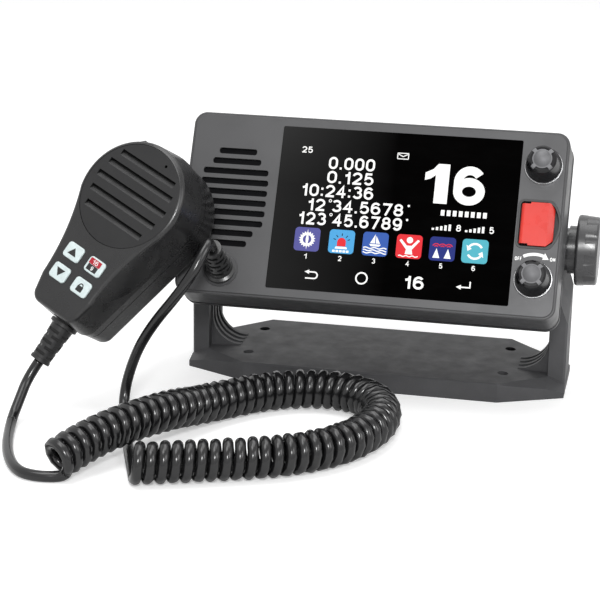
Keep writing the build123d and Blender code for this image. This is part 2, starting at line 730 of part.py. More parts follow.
def dial_shaft(place):
    x, z = place
    return rod(x, z, SHAFT_R, FACE_Y - DIAL_H + 1.5, FRONT_WALL_Y + ENCODER_H - 2.5)


# ---- distress control -----------------------------------------------------------------------
def distress_well():
    cup = slab(well_outline(WELL_WALL), FACE_Y - 0.2, WELL_BOTTOM_Y)
    cup -= slab(well_outline(0), FACE_Y - 1, WELL_FLOOR_Y)
    cup -= rod(BUTTON_X, 0, BUTTON_R + FIT, WELL_FLOOR_Y - 1, WELL_BOTTOM_Y + 1)
    pin = Pos(COVER_LEFT_X, HINGE_Y, 0) * Cylinder(PIN_R, 2 * (WELL_HALF_H + WELL_WALL - 0.2))
    return cup - pin


def distress_hinge_pin():
    length = 2 * (WELL_HALF_H + WELL_WALL - 0.2)
    return Pos(COVER_LEFT_X, HINGE_Y, 0) * Cylinder(PIN_R, length)


def distress_cover():
    """The spring-shut guard: a flat lid with a sloped opening edge and a hinge barrel."""
    front, right = COVER_FRONT_Y, COVER_RIGHT_X
    lip = front + 2.9
    profile = Polyline(
        (COVER_LEFT_X, front),
        (right - 2.8, front),
        (right, front + 1.9),
        (right, lip),
        (right - 1.1, lip),
        (right - 1.1, front + 2.3),
        (right - 3.2, front + COVER_THICK),
        (COVER_LEFT_X, front + COVER_THICK),
        close=True,
    )
    lid = extrude(make_face(profile), COVER_HALF_H, both=True)
    for side in (-1, 1):
        wall = Polyline(
            (COVER_LEFT_X + 2.2, front + 0.5),
            (right - 2.6, front + 0.5),
            (right - 0.3, front + 2.1),
            (right - 0.3, lip),
            (COVER_LEFT_X + 2.2, lip),
            close=True,
        )
        edge = side * (COVER_HALF_H - 0.5)
        lid += Pos(0, 0, edge) * extrude(make_face(wall), 0.5, both=True)
    corner = Pos(right, front, -COVER_HALF_H) * Rot(Y=45) * Box(4.2, 12, 4.2)
    lid -= corner
    barrel = Pos(COVER_LEFT_X, HINGE_Y, 0) * Cylinder(BARREL_R, 2 * COVER_HALF_H)
    lid += barrel
    lid &= slab(well_outline(-COVER_GAP), front - 1, lip + 1)
    for end in (-COVER_HALF_H, COVER_HALF_H):
        lid -= Pos(COVER_LEFT_X, HINGE_Y, end) * Cylinder(2 * BARREL_R, 1.6)
    pocket_r = PIN_R + 2 * SPRING_WIRE_R + 2 * SPRING_ROOM
    lid -= Pos(COVER_LEFT_X, HINGE_Y, 0) * Cylinder(pocket_r, 2 * SPRING_HALF_H)
    return lid - Pos(COVER_LEFT_X, HINGE_Y, 0) * Cylinder(PIN_BORE_R, 4 * COVER_HALF_H)


def distress_spring():
    """The cover's torsion spring: close turns of wire round the hinge pin."""
    coil_r = PIN_R + SPRING_ROOM + SPRING_WIRE_R
    height = 2 * SPRING_HALF_H - 2 * SPRING_WIRE_R - 0.4
    path = Helix(height / SPRING_TURNS, height, coil_r)
    section = Rectangle(2 * SPRING_WIRE_R, 2 * SPRING_WIRE_R)
    wire = sweep(Plane(origin=path @ 0, z_dir=path % 0) * section, path, is_frenet=True)
    return Pos(COVER_LEFT_X, HINGE_Y, -height / 2) * wire


def distress_button():
    button = rod(BUTTON_X, 0, BUTTON_R, BUTTON_TOP_Y, WELL_FLOOR_Y + 0.2)
    button = fillet(button.faces().sort_by(Axis.Y)[0].edges(), 0.6)
    return button + rod(BUTTON_X, 0, 2.0, WELL_FLOOR_Y, CONTROL_BOARD_Y - 1.05)


# ---- cord outlet and rear connectors ---------------------------------------------------------
def cord_gland():
    profile = (
        (0.0, -GLAND_LIP),
        (GLAND_R - 0.8, -GLAND_LIP),
        (GLAND_R, -GLAND_LIP + 0.8),
        (GLAND_R, 0.0),
        (GLAND_BODY_R, 0.0),
        (GLAND_BODY_R, FRONT_WALL_Y - FACE_Y),
        (GLAND_R, FRONT_WALL_Y - FACE_Y),
        (GLAND_R, FRONT_WALL_Y - FACE_Y + 2.0),
        (0.0, FRONT_WALL_Y - FACE_Y + 2.0),
    )
    return turned(profile, *GLAND_AT, FACE_Y)


def ribbed_boot(root_r, tip_r, length, rows):
    """A bend relief along -Y from the origin: a tapered sleeve with staggered slots."""
    profile = (
        (0.0, 1.0),
        (root_r + 1.3, 1.0),
        (root_r + 1.3, -1.6),
        (root_r, -2.2),
        (tip_r, -length + 1.6),
        (tip_r + 0.35, -length + 1.5),
        (tip_r + 0.35, -length),
        (0.0, -length),
    )
    boot = turned(profile)
    pitch = (length - 6.0) / rows
    for row in range(rows):
        depth = -3.6 - pitch * (row + 0.5)
        around = root_r + (tip_r - root_r) * (-depth / length)
        for quarter in range(4):
            cut = Pos(0, depth, around + 0.4) * Box(1.15 * around, pitch * 0.5, 3.2)
            boot -= Rot(Y=90 * quarter + 45 * (row % 2)) * cut
    return boot


def gland_boot():
    boot = Rot(X=-BOOT_ANGLE) * ribbed_boot(BOOT_ROOT_R, BOOT_TIP_R, BOOT_LENGTH, 5)
    front = FACE_Y - GLAND_LIP
    boot = Pos(GLAND_AT[0], FACE_Y, GLAND_AT[1]) * boot
    behind = Pos(GLAND_AT[0], front + 20, GLAND_AT[1]) * Box(60, 40, 60)
    return boot - behind


def socket(place, barrel_r, length, flange_r, bore_r, bore_depth):
    profile = (
        (0.0, 0.0),
        (flange_r, 0.0),
        (flange_r, 1.8),
        (barrel_r, 2.2),
        (barrel_r, length - 0.6),
        (barrel_r - 0.6, length),
        (bore_r, length),
        (bore_r, length - bore_depth),
        (0.0, length - bore_depth),
    )
    return turned(profile, *place, CASE_BACK_Y)


def power_gland():
    hexagon = slab(Pos(*POWER_AT) * RegularPolygon(POWER_R + 1.5, 6), CASE_BACK_Y, CASE_BACK_Y + 3.5)
    body = hexagon + rod(*POWER_AT, POWER_R, CASE_BACK_Y + 3.0, CASE_BACK_Y + POWER_LENGTH)
    body = fillet(body.faces().sort_by(Axis.Y)[-1].edges(), 1.5)
    return body - rod(*POWER_AT, POWER_BORE_R, CASE_BACK_Y - 1, CASE_BACK_Y + POWER_LENGTH + 1)


# ---- microphone -----------------------------------------------------------------------------
def mic_outline(grow):
    """Round head running into a narrow rounded tail, grown outwards by `grow`."""
    corner_x = MIC_TAIL_HALF_W - MIC_TAIL_CORNER_R
    corner_z = MIC_TAIL_CORNER_R - MIC_TAIL_DROP
    corner_r = MIC_TAIL_CORNER_R + grow
    rounds = Sketch() + Circle(MIC_HEAD_R + grow)
    for side in (-1, 1):
        rounds += Pos(side * corner_x, corner_z) * Circle(corner_r)
    return make_hull(rounds.edges())


def mic_block(front, back, front_grow, back_grow):
    """The case outline lofted from depth `front` to depth `back`."""
    near = Plane.XZ.offset(-front) * mic_outline(front_grow)
    far = Plane.XZ.offset(-back) * mic_outline(back_grow)
    return loft([near, far])


def mic_boot_hole(grow):
    """The neck and inner flange of the boot where they pass through the case."""
    drop = MIC_TAIL_DROP
    neck = MIC_BOOT_ROOT_R - 0.4 + grow
    shape = Pos(0, MIC_BOOT_Y, -drop + 2) * Cylinder(neck, 8 + 2 * grow)
    return shape + Pos(0, MIC_BOOT_Y, -drop + MIC_WALL + 2.2) * Cylinder(neck + 2.0, 2.0 + 2 * grow)


def mic_neck(grow):
    """The two shallow cones that hollow the front shell's sides between head and tail."""
    front, back = -1.0, MIC_FRONT_DEPTH
    wide = NECK_R + grow - NECK_SLOPE * front
    narrow = NECK_R + grow - NECK_SLOPE * back
    cone = turned(((0.0, front), (wide, front), (narrow, back), (0.0, back)))
    x, z = NECK_AT
    return Pos(x, 0, z) * cone + Pos(-x, 0, z) * cone


def mic_front_shell():
    outer = mic_block(0, MIC_FRONT_DEPTH, -MIC_FRONT_TAPER, 0) - mic_neck(0)
    outer = fillet(outer.faces().sort_by(Axis.Y)[0].edges(), MIC_FRONT_ROUND)
    room = mic_block(MIC_FACE_WALL, MIC_FRONT_DEPTH, -MIC_FRONT_TAPER - MIC_WALL, -MIC_WALL)
    body = outer - (room - mic_neck(NECK_WALL))
    body -= rod(0, 0, GRILLE_R + FIT, -1, GRILLE_THICK)
    body -= rod(0, 0, GRILLE_R - GRILLE_LEDGE, -1, MIC_FACE_WALL + 1)
    for x, z in key_places():
        body -= slab(Pos(x, z) * rounded(KEY_W + FIT, KEY_H + FIT, KEY_R), -1, MIC_FACE_WALL + 1)
    body -= rod(*pinhole_place(), PINHOLE_R, GRILLE_THICK - 1, MIC_FACE_WALL + 1)
    for x, z in mic_screw_places():
        body += rod(x, z, MIC_POST_R, MIC_FACE_WALL, MIC_FRONT_DEPTH) & outer
        body -= rod(x, z, 1.0, MIC_FRONT_DEPTH - 8, MIC_FRONT_DEPTH)
    body -= ptt_block(PTT_INNER_R - PTT_TRAVEL - 1, PTT_OUTER_R + 5, PTT_GAP)
    return body - mic_boot_hole(FIT)


def key_places():
    return [(x, z) for z in KEY_ROWS for x in (-KEY_X, KEY_X)]


def pinhole_place():
    return polar(GRILLE_R - PINHOLE_RIM, PINHOLE_ANGLE)


def mic_screw_places():
    """Two screws beside the disc's opening, one above the tail's end."""
    reach = GRILLE_R - MIC_SCREW_RIM
    upper = [polar(reach, angle) for angle in (MIC_SCREW_ANGLE, 180 - MIC_SCREW_ANGLE)]
    return upper + [(0.0, MIC_SCREW_RISE - MIC_TAIL_DROP)]


def mic_rear_shell():
    edge = -MIC_REAR_INSET
    outer = mic_block(MIC_FRONT_DEPTH, MIC_DEPTH, edge, edge - MIC_REAR_TAPER)
    outer = fillet(outer.faces().sort_by(Axis.Y)[-1].edges(), MIC_REAR_ROUND)
    inner = edge - MIC_WALL
    room = mic_block(MIC_FRONT_DEPTH, MIC_DEPTH - MIC_WALL, inner, inner - 2 * MIC_REAR_TAPER)
    body = outer - room
    around = mic_block(MIC_GROOVE_Y, MIC_GROOVE_Y + MIC_GROOVE, 2.0, 2.0)
    body -= around - mic_block(MIC_GROOVE_Y, MIC_GROOVE_Y + MIC_GROOVE, edge - MIC_GROOVE, edge - MIC_GROOVE)
    for x, z in mic_screw_places():
        body += rod(x, z, 3.4, MIC_FRONT_DEPTH, MIC_DEPTH - 1) & outer
        body -= rod(x, z, 1.1, MIC_FRONT_DEPTH - 1, MIC_DEPTH)
        body -= rod(x, z, 2.4, MIC_DEPTH - 8, MIC_DEPTH + 1)
    body -= ptt_block(PTT_INNER_R - PTT_TRAVEL - 1, PTT_OUTER_R + 5, PTT_GAP)
    body -= rod(0, 0, STUD_HEAD_R / 2, MIC_DEPTH - MIC_WALL - 1, MIC_DEPTH + 1)
    return body - mic_boot_hole(FIT)


def ptt_block(inner_r, outer_r, grow):
    """A bar bent round the left shoulder of the case, its ends along the way it is pressed."""
    ring = Circle(outer_r) - Circle(inner_r)
    band = Pos(outer_r, 0) * Rectangle(2 * outer_r, PTT_LENGTH + 2 * grow)
    half_width = PTT_WIDTH / 2 + grow
    return slab(ring & (Rot(Z=PTT_ANGLE) * band), PTT_Y - half_width, PTT_Y + half_width)


def mic_ptt():
    bar = ptt_block(PTT_INNER_R, PTT_OUTER_R, 0)
    outside = bar.edges().filter_by(GeomType.CIRCLE).group_by(SortBy.RADIUS)[-1]
    return fillet(outside, 1.6)


def mic_grille():
    """The round front panel with five slanted louvres and the microphone pinhole."""
    disc = rod(0, 0, GRILLE_R, 0, GRILLE_THICK)
    disc = chamfer(disc.faces().sort_by(Axis.Y)[0].edges(), 0.25)
    for z, half_width in LOUVRES:
        wedge = Polyline(
            (-0.5, z + LOUVRE_H / 2),
            (LOUVRE_DEPTH, z + LOUVRE_H / 2 - 0.3),
            (-0.5, z - LOUVRE_H / 2 - 0.6),
            close=True,
        )
        disc -= extrude(Plane.YZ * make_face(wedge), half_width, both=True)
    return disc - rod(*pinhole_place(), PINHOLE_R, -1, GRILLE_THICK + 1)


def mic_key(place):
    x, z = place
    cap = slab(Pos(x, z) * rounded(KEY_W, KEY_H, KEY_R), -KEY_PROUD, MIC_FACE_WALL - KEY_TRAVEL)
    cap = fillet(cap.faces().sort_by(Axis.Y)[0].edges(), 0.5)
    back = MIC_BOARD_Y - KEY_TRAVEL - 0.2
    return cap + slab(Pos(x, z) * Rectangle(KEY_STEM, KEY_STEM), MIC_FACE_WALL - KEY_TRAVEL - 1, back)


def mic_board():
    sheet = Circle(GRILLE_R - MIC_BOARD_RIM) + Pos(0, -32) * Rectangle(22.0, 34.0)
    for x, z in mic_screw_places():
        sheet -= Pos(x, z) * Circle(MIC_POST_R + 0.2)
    board = slab(sheet, MIC_BOARD_Y, MIC_BOARD_Y + BOARD_THICK)
    back = MIC_BOARD_Y + BOARD_THICK
    return board + slab(Pos(0, -8) * Rectangle(12, 12), back, back + 2.0)


def mic_capsule():
    profile = (
        (0.0, MIC_FACE_WALL + 0.05),
        (CAPSULE_R, MIC_FACE_WALL + 0.05),
        (CAPSULE_R, MIC_BOARD_Y),
        (0.0, MIC_BOARD_Y),
    )
    return turned(profile, *pinhole_place())


def mic_hanger_stud():
    neck = STUD_HEAD_R / 2
    profile = (
        (0.0, -MIC_WALL),
        (neck, -MIC_WALL),
        (neck, STUD_HEAD_H - 3.0),
        (STUD_HEAD_R - 0.8, STUD_HEAD_H - 3.0),
        (STUD_HEAD_R, STUD_HEAD_H - 2.2),
        (STUD_HEAD_R - 0.6, STUD_HEAD_H - 0.4),
        (STUD_HEAD_R - 1.8, STUD_HEAD_H),
        (0.0, STUD_HEAD_H),
    )
    return turned(profile, 0, 0, MIC_DEPTH)


def mic_screws():
    seat = MIC_DEPTH - 8
    return [screw(x, z, 2.2, 1.0, seat, seat - MIC_FRONT_DEPTH + 7.0) for x, z in mic_screw_places()]


def mic_boot():
    start = MIC_TAIL_DROP + 0.15
    sleeve = ribbed_boot(MIC_BOOT_ROOT_R, MIC_BOOT_TIP_R, MIC_BOOT_END - start, MIC_BOOT_ROWS)
    sleeve -= Pos(0, 10, 0) * Box(60, 20, 60)
    upright = Pos(0, MIC_BOOT_Y, -start) * Rot(X=90) * sleeve
    neck = mic_boot_hole(0) & (Pos(0, MIC_BOOT_Y, -start + 20) * Box(60, 60, 40))
    return upright + neck


# ---- cords ----------------------------------------------------------------------------------
def frame_point(frame, point):
    return (frame * Pos(*point)).position


def panel_cord_points():
    reach = BOOT_LENGTH
    lean = math.radians(BOOT_ANGLE)
    x, z = GLAND_AT
    tip = (x, FACE_Y - reach * math.cos(lean), z + reach * math.sin(lean))
    beyond = (x, tip[1] - 6.5 * math.cos(lean), tip[2] + 6.5 * math.sin(lean))
    start = [tuple(frame_point(RADIO, point)) for point in (tip, beyond)]
    return start + list(PANEL_ROUTE)


def mic_tail_start():
    """Boot tip, the first corner below it, and the middle of the run that follows."""
    tip = frame_point(MIC, (0, MIC_BOOT_Y, -MIC_BOOT_END))
    corner = frame_point(MIC, (0, MIC_BOOT_Y, -MIC_BOOT_END - MIC_TAIL_LEAD))
    middle = (corner + Vector(*MIC_TAIL_ROUTE[0])) / 2
    return [tuple(tip), tuple(corner), tuple(middle)]


def mic_cord_upper_points():
    return mic_tail_start()


def mic_cord_lower_points():
    return [mic_tail_start()[-1]] + list(MIC_TAIL_ROUTE)


# ---- assembly -------------------------------------------------------------------------------
def root_nodes():
    return {"bracket": bracket()}


def clamp_nodes():
    nodes = {}
    for name, piece in (("clamp_knob", clamp_knob()), ("clamp_stud", clamp_stud())):
        for side, solid in both_sides(piece).items():
            nodes[f"{name}_{side}"] = solid
    for side, solid in both_sides(pivot_washer()).items():
        nodes[f"pivot_washer_{side}"] = solid
    return nodes


def radio_nodes():
    nodes = {
        "front_bezel": front_bezel(),
        "face_plate": face_plate(),
        "display_glass": display_glass(),
        "lcd_module": lcd_module(),
        "control_board": control_board(),
        "main_board": main_board(),
        "rear_housing": rear_housing(),
        "housing_gasket": housing_gasket(),
        "housing_screws": housing_screws(),
        "board_screws": board_screws(),
        "speaker": speaker(),
        "speaker_baffle": speaker_baffle(),
        "distress_well": distress_well(),
        "distress_cover": distress_cover(),
        "distress_hinge_pin": distress_hinge_pin(),
        "distress_spring": distress_spring(),
        "distress_button": distress_button(),
        "cord_gland": cord_gland(),
        "gland_boot": gland_boot(),
        "antenna_socket": socket(ANTENNA_AT, ANTENNA_R, ANTENNA_LENGTH, 11.0, 4.0, 3.5),
        "data_socket": socket(DATA_AT, DATA_R, DATA_LENGTH, 9.0, 4.2, 3.5),
        "power_gland": power_gland(),
    }
    for name, place in (("squelch", SQUELCH_AT), ("volume", VOLUME_AT)):
        nodes[f"{name}_ring"] = dial_ring(place)
        nodes[f"{name}_encoder"] = encoder(place)
        nodes[f"{name}_knob"] = dial(place)
        nodes[f"{name}_knob_cap"] = dial_cap(place)
        nodes[f"{name}_shaft"] = dial_shaft(place)
    return nodes


def mic_nodes():
    nodes = {
        "mic_front_shell": mic_front_shell(),
        "mic_rear_shell": mic_rear_shell(),
        "mic_grille": mic_grille(),
        "mic_board": mic_board(),
        "mic_capsule": mic_capsule(),
        "mic_hanger_stud": mic_hanger_stud(),
        "mic_screws": mic_screws(),
        "mic_boot": mic_boot(),
        "mic_ptt": mic_ptt(),
    }
    names = ("mic_key_up", "mic_key_channel", "mic_key_down", "mic_key_lock")
    for name, place in zip(names, key_places()):
        nodes[name] = mic_key(place)
    return nodes


def cord_nodes():
    return {
        "panel_cord": tube(panel_cord_points(), CORD_R),
        "coil_cord": tube(COIL_ROUTE, COIL_R),
        "mic_cord_lower": tube(mic_cord_lower_points(), CORD_R),
        "mic_cord_upper": tube(mic_cord_upper_points(), CORD_R),
    }


def placed(frame, shape):
    solids = shape if isinstance(shape, list) else shape.solids()
    moved = [frame * solid for solid in solids]
    return moved[0] if len(moved) == 1 else Compound(children=moved)


def main():
    os.makedirs("parts", exist_ok=True)
    home = Location()
    groups = (
        (home, root_nodes()),
        (home, clamp_nodes()),
        (RADIO, radio_nodes()),
        (MIC, mic_nodes()),
        (home, cord_nodes()),
    )
    for frame, nodes in groups:
        for name, shape in nodes.items():
            export_step(placed(frame, shape), f"parts/{name}.step")
            print(name)


main()
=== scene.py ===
"""Fixed-mount marine transceiver: finishes, lit picture, printing, cords and studio.

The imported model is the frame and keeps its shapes. This file dresses every part of it, draws
the picture on the display, prints the marks on the face and the keys, and winds the cord.
"""

import logging
import math
from dataclasses import dataclass, field
from enum import Enum
from typing import Any, Callable, Iterable, Sequence

import bmesh
import bpy
from mathutils import Matrix, Vector


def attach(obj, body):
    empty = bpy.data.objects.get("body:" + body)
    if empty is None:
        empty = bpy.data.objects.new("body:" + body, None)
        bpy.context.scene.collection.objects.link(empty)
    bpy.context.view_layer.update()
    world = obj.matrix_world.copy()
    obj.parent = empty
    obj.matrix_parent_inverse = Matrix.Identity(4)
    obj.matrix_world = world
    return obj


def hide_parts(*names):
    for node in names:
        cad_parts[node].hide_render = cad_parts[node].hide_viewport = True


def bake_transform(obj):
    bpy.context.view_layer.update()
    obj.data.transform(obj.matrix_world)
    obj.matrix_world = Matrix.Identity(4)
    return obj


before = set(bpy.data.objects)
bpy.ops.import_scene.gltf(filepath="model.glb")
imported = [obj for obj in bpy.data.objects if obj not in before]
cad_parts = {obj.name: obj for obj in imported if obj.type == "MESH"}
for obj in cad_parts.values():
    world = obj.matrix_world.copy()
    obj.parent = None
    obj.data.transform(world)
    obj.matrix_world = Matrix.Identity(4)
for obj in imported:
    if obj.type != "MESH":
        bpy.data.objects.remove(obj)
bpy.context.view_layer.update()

log = logging.getLogger("marine_radio")
MM = 0.001
FULL_TURN = 360.0
WAVE_POINTS = 19

Colour = tuple[float, float, float]
Point2 = tuple[float, float]
Point3 = tuple[float, float, float]
Box = tuple[float, float, float, float]


# ---- frames of the moving bodies ------------------------------------------------------------
@dataclass(frozen=True)
class PartFrame:
    """A part's own axes: x to the right, y into the part, z up its face, in millimetres."""

    matrix: Matrix

    def point(self, x: float, y: float, z: float) -> Vector:
        """The place of a point of the part in the shared frame, in metres."""
        return self.matrix @ (Vector((x, y, z)) * MM)

    def way(self, x: float, y: float, z: float) -> Vector:
        """A direction of the part, in the shared frame."""
        return self.matrix.to_3x3() @ Vector((x, y, z))


def turned(place: Point3, turns: Iterable[tuple[float, str]]) -> PartFrame:
    """A frame moved to a place and turned.

    Args:
        place: The frame's origin in millimetres.
        turns: Angles in degrees, each with the axis it turns about, outermost first.

    Returns:
        The frame.
    """
    matrix = Matrix.Translation(Vector(place) * MM)
    for angle, axis in turns:
        matrix = matrix @ Matrix.Rotation(math.radians(angle), 4, axis)
    return PartFrame(matrix)


RADIO = turned(place=(0, 0, 67.5), turns=[(-29.0, "X")])
HANDSET = turned(place=(-103.53, -76.73, 100.04), turns=[(-13.1, "Z"), (-32.0, "X"), (22.6, "Y")])
GLAND_BOOT_ROOT: Point3 = (-66.7, -46.0, -31.5)
GLAND_BOOT_TIP: Point3 = (-66.7, -66.01, -26.2)
MIC_BOOT_ROOT: Point3 = (0.0, 17.0, -64.15)
MIC_BOOT_TIP: Point3 = (0.0, 17.0, -84.6)


# ---- shader kit -----------------------------------------------------------------------------
class Wire:
    """A shader socket that can be used in Python expressions on numbers."""

    def __init__(self, shading: "Shading", socket: bpy.types.NodeSocket | None) -> None:
        """Wraps one output socket of a node tree."""
        self.shading = shading
        self.socket = socket

    def _math(self, operation: str, first: Any, second: Any) -> "Wire":
        """One Math node on two operands."""
        settings = {"operation": operation}
        return self.shading.node("ShaderNodeMath", settings, {0: first, 1: second})

    def __add__(self, other: Any) -> "Wire":
        """Sum."""
        return self._math("ADD", self, other)

    __radd__ = __add__

    def __sub__(self, other: Any) -> "Wire":
        """Difference."""
        return self._math("SUBTRACT", self, other)

    def __rsub__(self, other: Any) -> "Wire":
        """Difference, reflected."""
        return self._math("SUBTRACT", other, self)

    def __mul__(self, other: Any) -> "Wire":
        """Product."""
        return self._math("MULTIPLY", self, other)

    __rmul__ = __mul__

    def __pow__(self, other: Any) -> "Wire":
        """Power."""
        return self._math("POWER", self, other)

    def maximum(self, other: Any) -> "Wire":
        """The greater of two values."""
        return self._math("MAXIMUM", self, other)

    def between(self, low: float, high: float) -> "Wire":
        """0 below low, 1 above high and a straight ramp between them."""
        inputs = {"Value": self, "From Min": low, "From Max": high}
        return self.shading.node("ShaderNodeMapRange", {"clamp": True}, inputs)


class Shading:
    """The node tree of a material or a world."""

    def __init__(self, owner: bpy.types.Material | bpy.types.World) -> None:
        """Empties the owner's node tree."""
        owner.use_nodes = True
        self.tree = owner.node_tree
        self.tree.nodes.clear()

    def node(
        self,
        kind: str,
        settings: dict[str, Any] | None = None,
        inputs: dict[Any, Any] | None = None,
        output: Any = 0,
    ) -> Wire:
        """Adds one node.

        Args:
            kind: The node's type.
            settings: Its own settings, set before its inputs.
            inputs: Values or wires by socket name or number.
            output: The output to hand back, by name or number.

        Returns:
            The chosen output, or an empty wire where the node has no outputs.
        """
        made = self.tree.nodes.new(kind)
        for key, value in (settings or {}).items():
            setattr(made, key, value)
        for key, value in (inputs or {}).items():
            if isinstance(value, Wire):
                self.tree.links.new(value.socket, made.inputs[key])
            else:
                made.inputs[key].default_value = value
        return Wire(self, made.outputs[output] if made.outputs else None)


class Painter(Shading):
    """Builds one node material around a Principled shader."""

    def __init__(self, name: str) -> None:
        """Starts an empty material of that name."""
        self.material = bpy.data.materials.new(name)
        super().__init__(self.material)
        self.place = self.node("ShaderNodeTexCoord", output="Object")

    def _vector(self, operation: str, first: Any, second: Any, output: Any = 0) -> Wire:
        """One Vector Math node on two operands."""
        settings = {"operation": operation}
        return self.node("ShaderNodeVectorMath", settings, {0: first, 1: second}, output)

    def drawn_out(self, share: float) -> Wire:
        """The surface's place, with its x shrunk to a share so that marks grow long along x."""
        return self._vector("MULTIPLY", self.place, (share, 1.0, 1.0))

    def along(self, way: Vector) -> Wire:
        """How far a place lies along a direction, in metres."""
        return self._vector("DOT_PRODUCT", self.place, tuple(way), "Value")

    def around(self, foot: Point3, way: Vector) -> tuple[Wire, Wire]:
        """Measures a place against a line.

        Args:
            foot: Where the line starts, in metres.
            way: The line's direction, of length 1.

        Returns:
            How far the place is along the line, and how far from it, in metres.
        """
        from_foot = self._vector("SUBTRACT", self.place, foot)
        along = self._vector("DOT_PRODUCT", from_foot, tuple(way), "Value")
        square = self._vector("DOT_PRODUCT", from_foot, from_foot, "Value")
        return along, (square - along * along) ** 0.5

    def noise(
        self, size_mm: float, detail: float = 3.0, rough: float = 0.5, where: Wire | None = None
    ) -> Wire:
        """Noise over the surface.

        Args:
            size_mm: About how wide a blotch is, in millimetres.
            detail: How many finer layers it has.
            rough: How strong the finer layers are.
            where: The place it is read at, the surface's own if left out.

        Returns:
            The noise, from 0 to 1.
        """
        inputs = {
            "Vector": where or self.place,
            "Scale": 1.0 / (size_mm * MM),
            "Detail": detail,
            "Roughness": rough,
        }
        return self.node("ShaderNodeTexNoise", None, inputs)

    def clouds(self, size_mm: float, detail: float, rough: float = 0.5) -> Wire:
        """Soft blotches that reach from 0 to 1, where plain noise keeps to its middle."""
        return self.noise(size_mm, detail, rough).between(0.3, 0.7)

    def pits(self, size_mm: float) -> Wire:
        """Distance to the nearest of many cell centres, about 0 to 1."""
        inputs = {"Vector": self.place, "Scale": 1.0 / (size_mm * MM)}
        return self.node("ShaderNodeTexVoronoi", None, inputs)

    def mixed(self, share: Any, first: Any, second: Any) -> Wire:
        """A blend of two colours.

        Args:
            share: How much of the second colour there is, from 0 to 1.
            first: A colour or a wire.
            second: A colour or a wire.

        Returns:
            The blend.
        """
        colours = [c if isinstance(c, Wire) else (*c, 1.0) for c in (first, second)]
        settings = {"data_type": "RGBA"}
        return self.node("ShaderNodeMix", settings, {0: share, 6: colours[0], 7: colours[1]}, 2)

    def bump(self, height: Wire, depth_mm: float) -> Wire:
        """A normal that follows a height of 0 to 1 times that depth."""
        return self.node("ShaderNodeBump", None, {"Height": height, "Distance": depth_mm * MM})

    def finish(self, **inputs: Any) -> bpy.types.Material:
        """Closes the material with a Principled shader.

        Args:
            inputs: Its sockets, with underscores for the spaces in their names.

        Returns:
            The material.
        """
        named = {key.replace("_", " "): value for key, value in inputs.items()}
        self.surface(self.node("ShaderNodeBsdfPrincipled", None, named))
        return self.material

    def surface(self, shader: Wire) -> None:
        """Joins a shader to the material's surface."""
        self.node("ShaderNodeOutputMaterial", None, {"Surface": shader})


# ---- finishes -------------------------------------------------------------------------------
DUST: Colour = (0.35, 0.34, 0.32)
# Painted shade for slots and for the gaps between ribs: its near-black colours, and the most of it that is
# mixed into a surface.
SLOT_SHADE: Colour = (0.001, 0.001, 0.001)
BOOT_SHADE: Colour = (0.0008, 0.0008, 0.0008)
SHADE_SHARE = 0.9


def dimmer(colour: Colour, by: float) -> Colour:
    """A colour times a number."""
    return (colour[0] * by, colour[1] * by, colour[2] * by)


@dataclass(frozen=True)
class Finish:
    """A surface with slow colour variation, patchy sheen and a fine grain."""

    colour: Colour
    roughness: float = 0.45
    metallic: float = 0.0
    specular: float = 0.5
    coat: float = 0.0
    grain_mm: float = 0.5
    grain_depth_mm: float = 0.012
    mottle: float = 0.12
    mottle_mm: float = 14.0
    sheen_spread: float = 0.08
    dust: float = 0.0

    def grain(self, painter: Painter) -> Wire:
        """The fine relief, from 0 to 1."""
        return painter.noise(self.grain_mm, 2.0, 0.6)

    def shade(self, painter: Painter) -> Wire:
        """The colour over the surface.

        Args:
            painter: The material's painter.

        Returns:
            The colour.
        """
        slow = painter.clouds(self.mottle_mm, 4.0, 0.55)
        low, high = dimmer(self.colour, 1 - self.mottle), dimmer(self.colour, 1 + self.mottle)
        colour = painter.mixed(slow, low, high)
        if self.dust:
            specks = painter.noise(0.9, 3.0, 0.7).between(0.6, 0.75)
            colour = painter.mixed(specks * self.dust, colour, DUST)
        return colour

    def make(self, name: str) -> bpy.types.Material:
        """Builds the material.

        Args:
            name: The material's name.

        Returns:
            The material.
        """
        painter = Painter(name)
        grain = self.grain(painter)
        patches = painter.clouds(self.mottle_mm * 0.6, 5.0, 0.6)
        rough = (patches - 0.5) * (2 * self.sheen_spread) + self.roughness
        return painter.finish(
            Base_Color=self.shade(painter),
            Roughness=rough,
            Metallic=self.metallic,
            Specular_IOR_Level=self.specular,
            Coat_Weight=self.coat,
            Coat_Roughness=0.12,
            Normal=painter.bump(grain, self.grain_depth_mm),
        )


@dataclass(frozen=True)
class SparkPlastic(Finish):
    """Moulded plastic with the pitted skin of a spark-eroded tool."""

    def grain(self, painter: Painter) -> Wire:
        """Small pits over fine noise."""
        return painter.pits(self.grain_mm) * 0.6 + painter.noise(self.grain_mm * 0.5, 2.0) * 0.4


@dataclass(frozen=True)
class Casting(Finish):
    """A die casting under paint, with flow marks and a coarse skin."""

    def grain(self, painter: Painter) -> Wire:
        """Lumpy skin with slow waves."""
        waves = painter.noise(self.grain_mm * 5, 3.0)
        return painter.noise(self.grain_mm, 4.0, 0.7) * 0.7 + waves * 0.5


@dataclass(frozen=True)
class Brushed(Finish):
    """Metal with fine lines along x."""

    def grain(self, painter: Painter) -> Wire:
        """Long thin streaks."""
        return painter.noise(self.grain_mm, 2.0, 0.7, painter.drawn_out(0.04))


@dataclass(frozen=True)
class Scuffed(Finish):
    """Powder coat with orange peel and light rub marks."""

    def shade(self, painter: Painter) -> Wire:
        """The coat's colour with a few paler rubs."""
        rubs = painter.noise(1.6, 5.0, 0.7, painter.drawn_out(0.25)).between(0.66, 0.78)
        return painter.mixed(rubs * 0.25, super().shade(painter), dimmer(self.colour, 2.2))


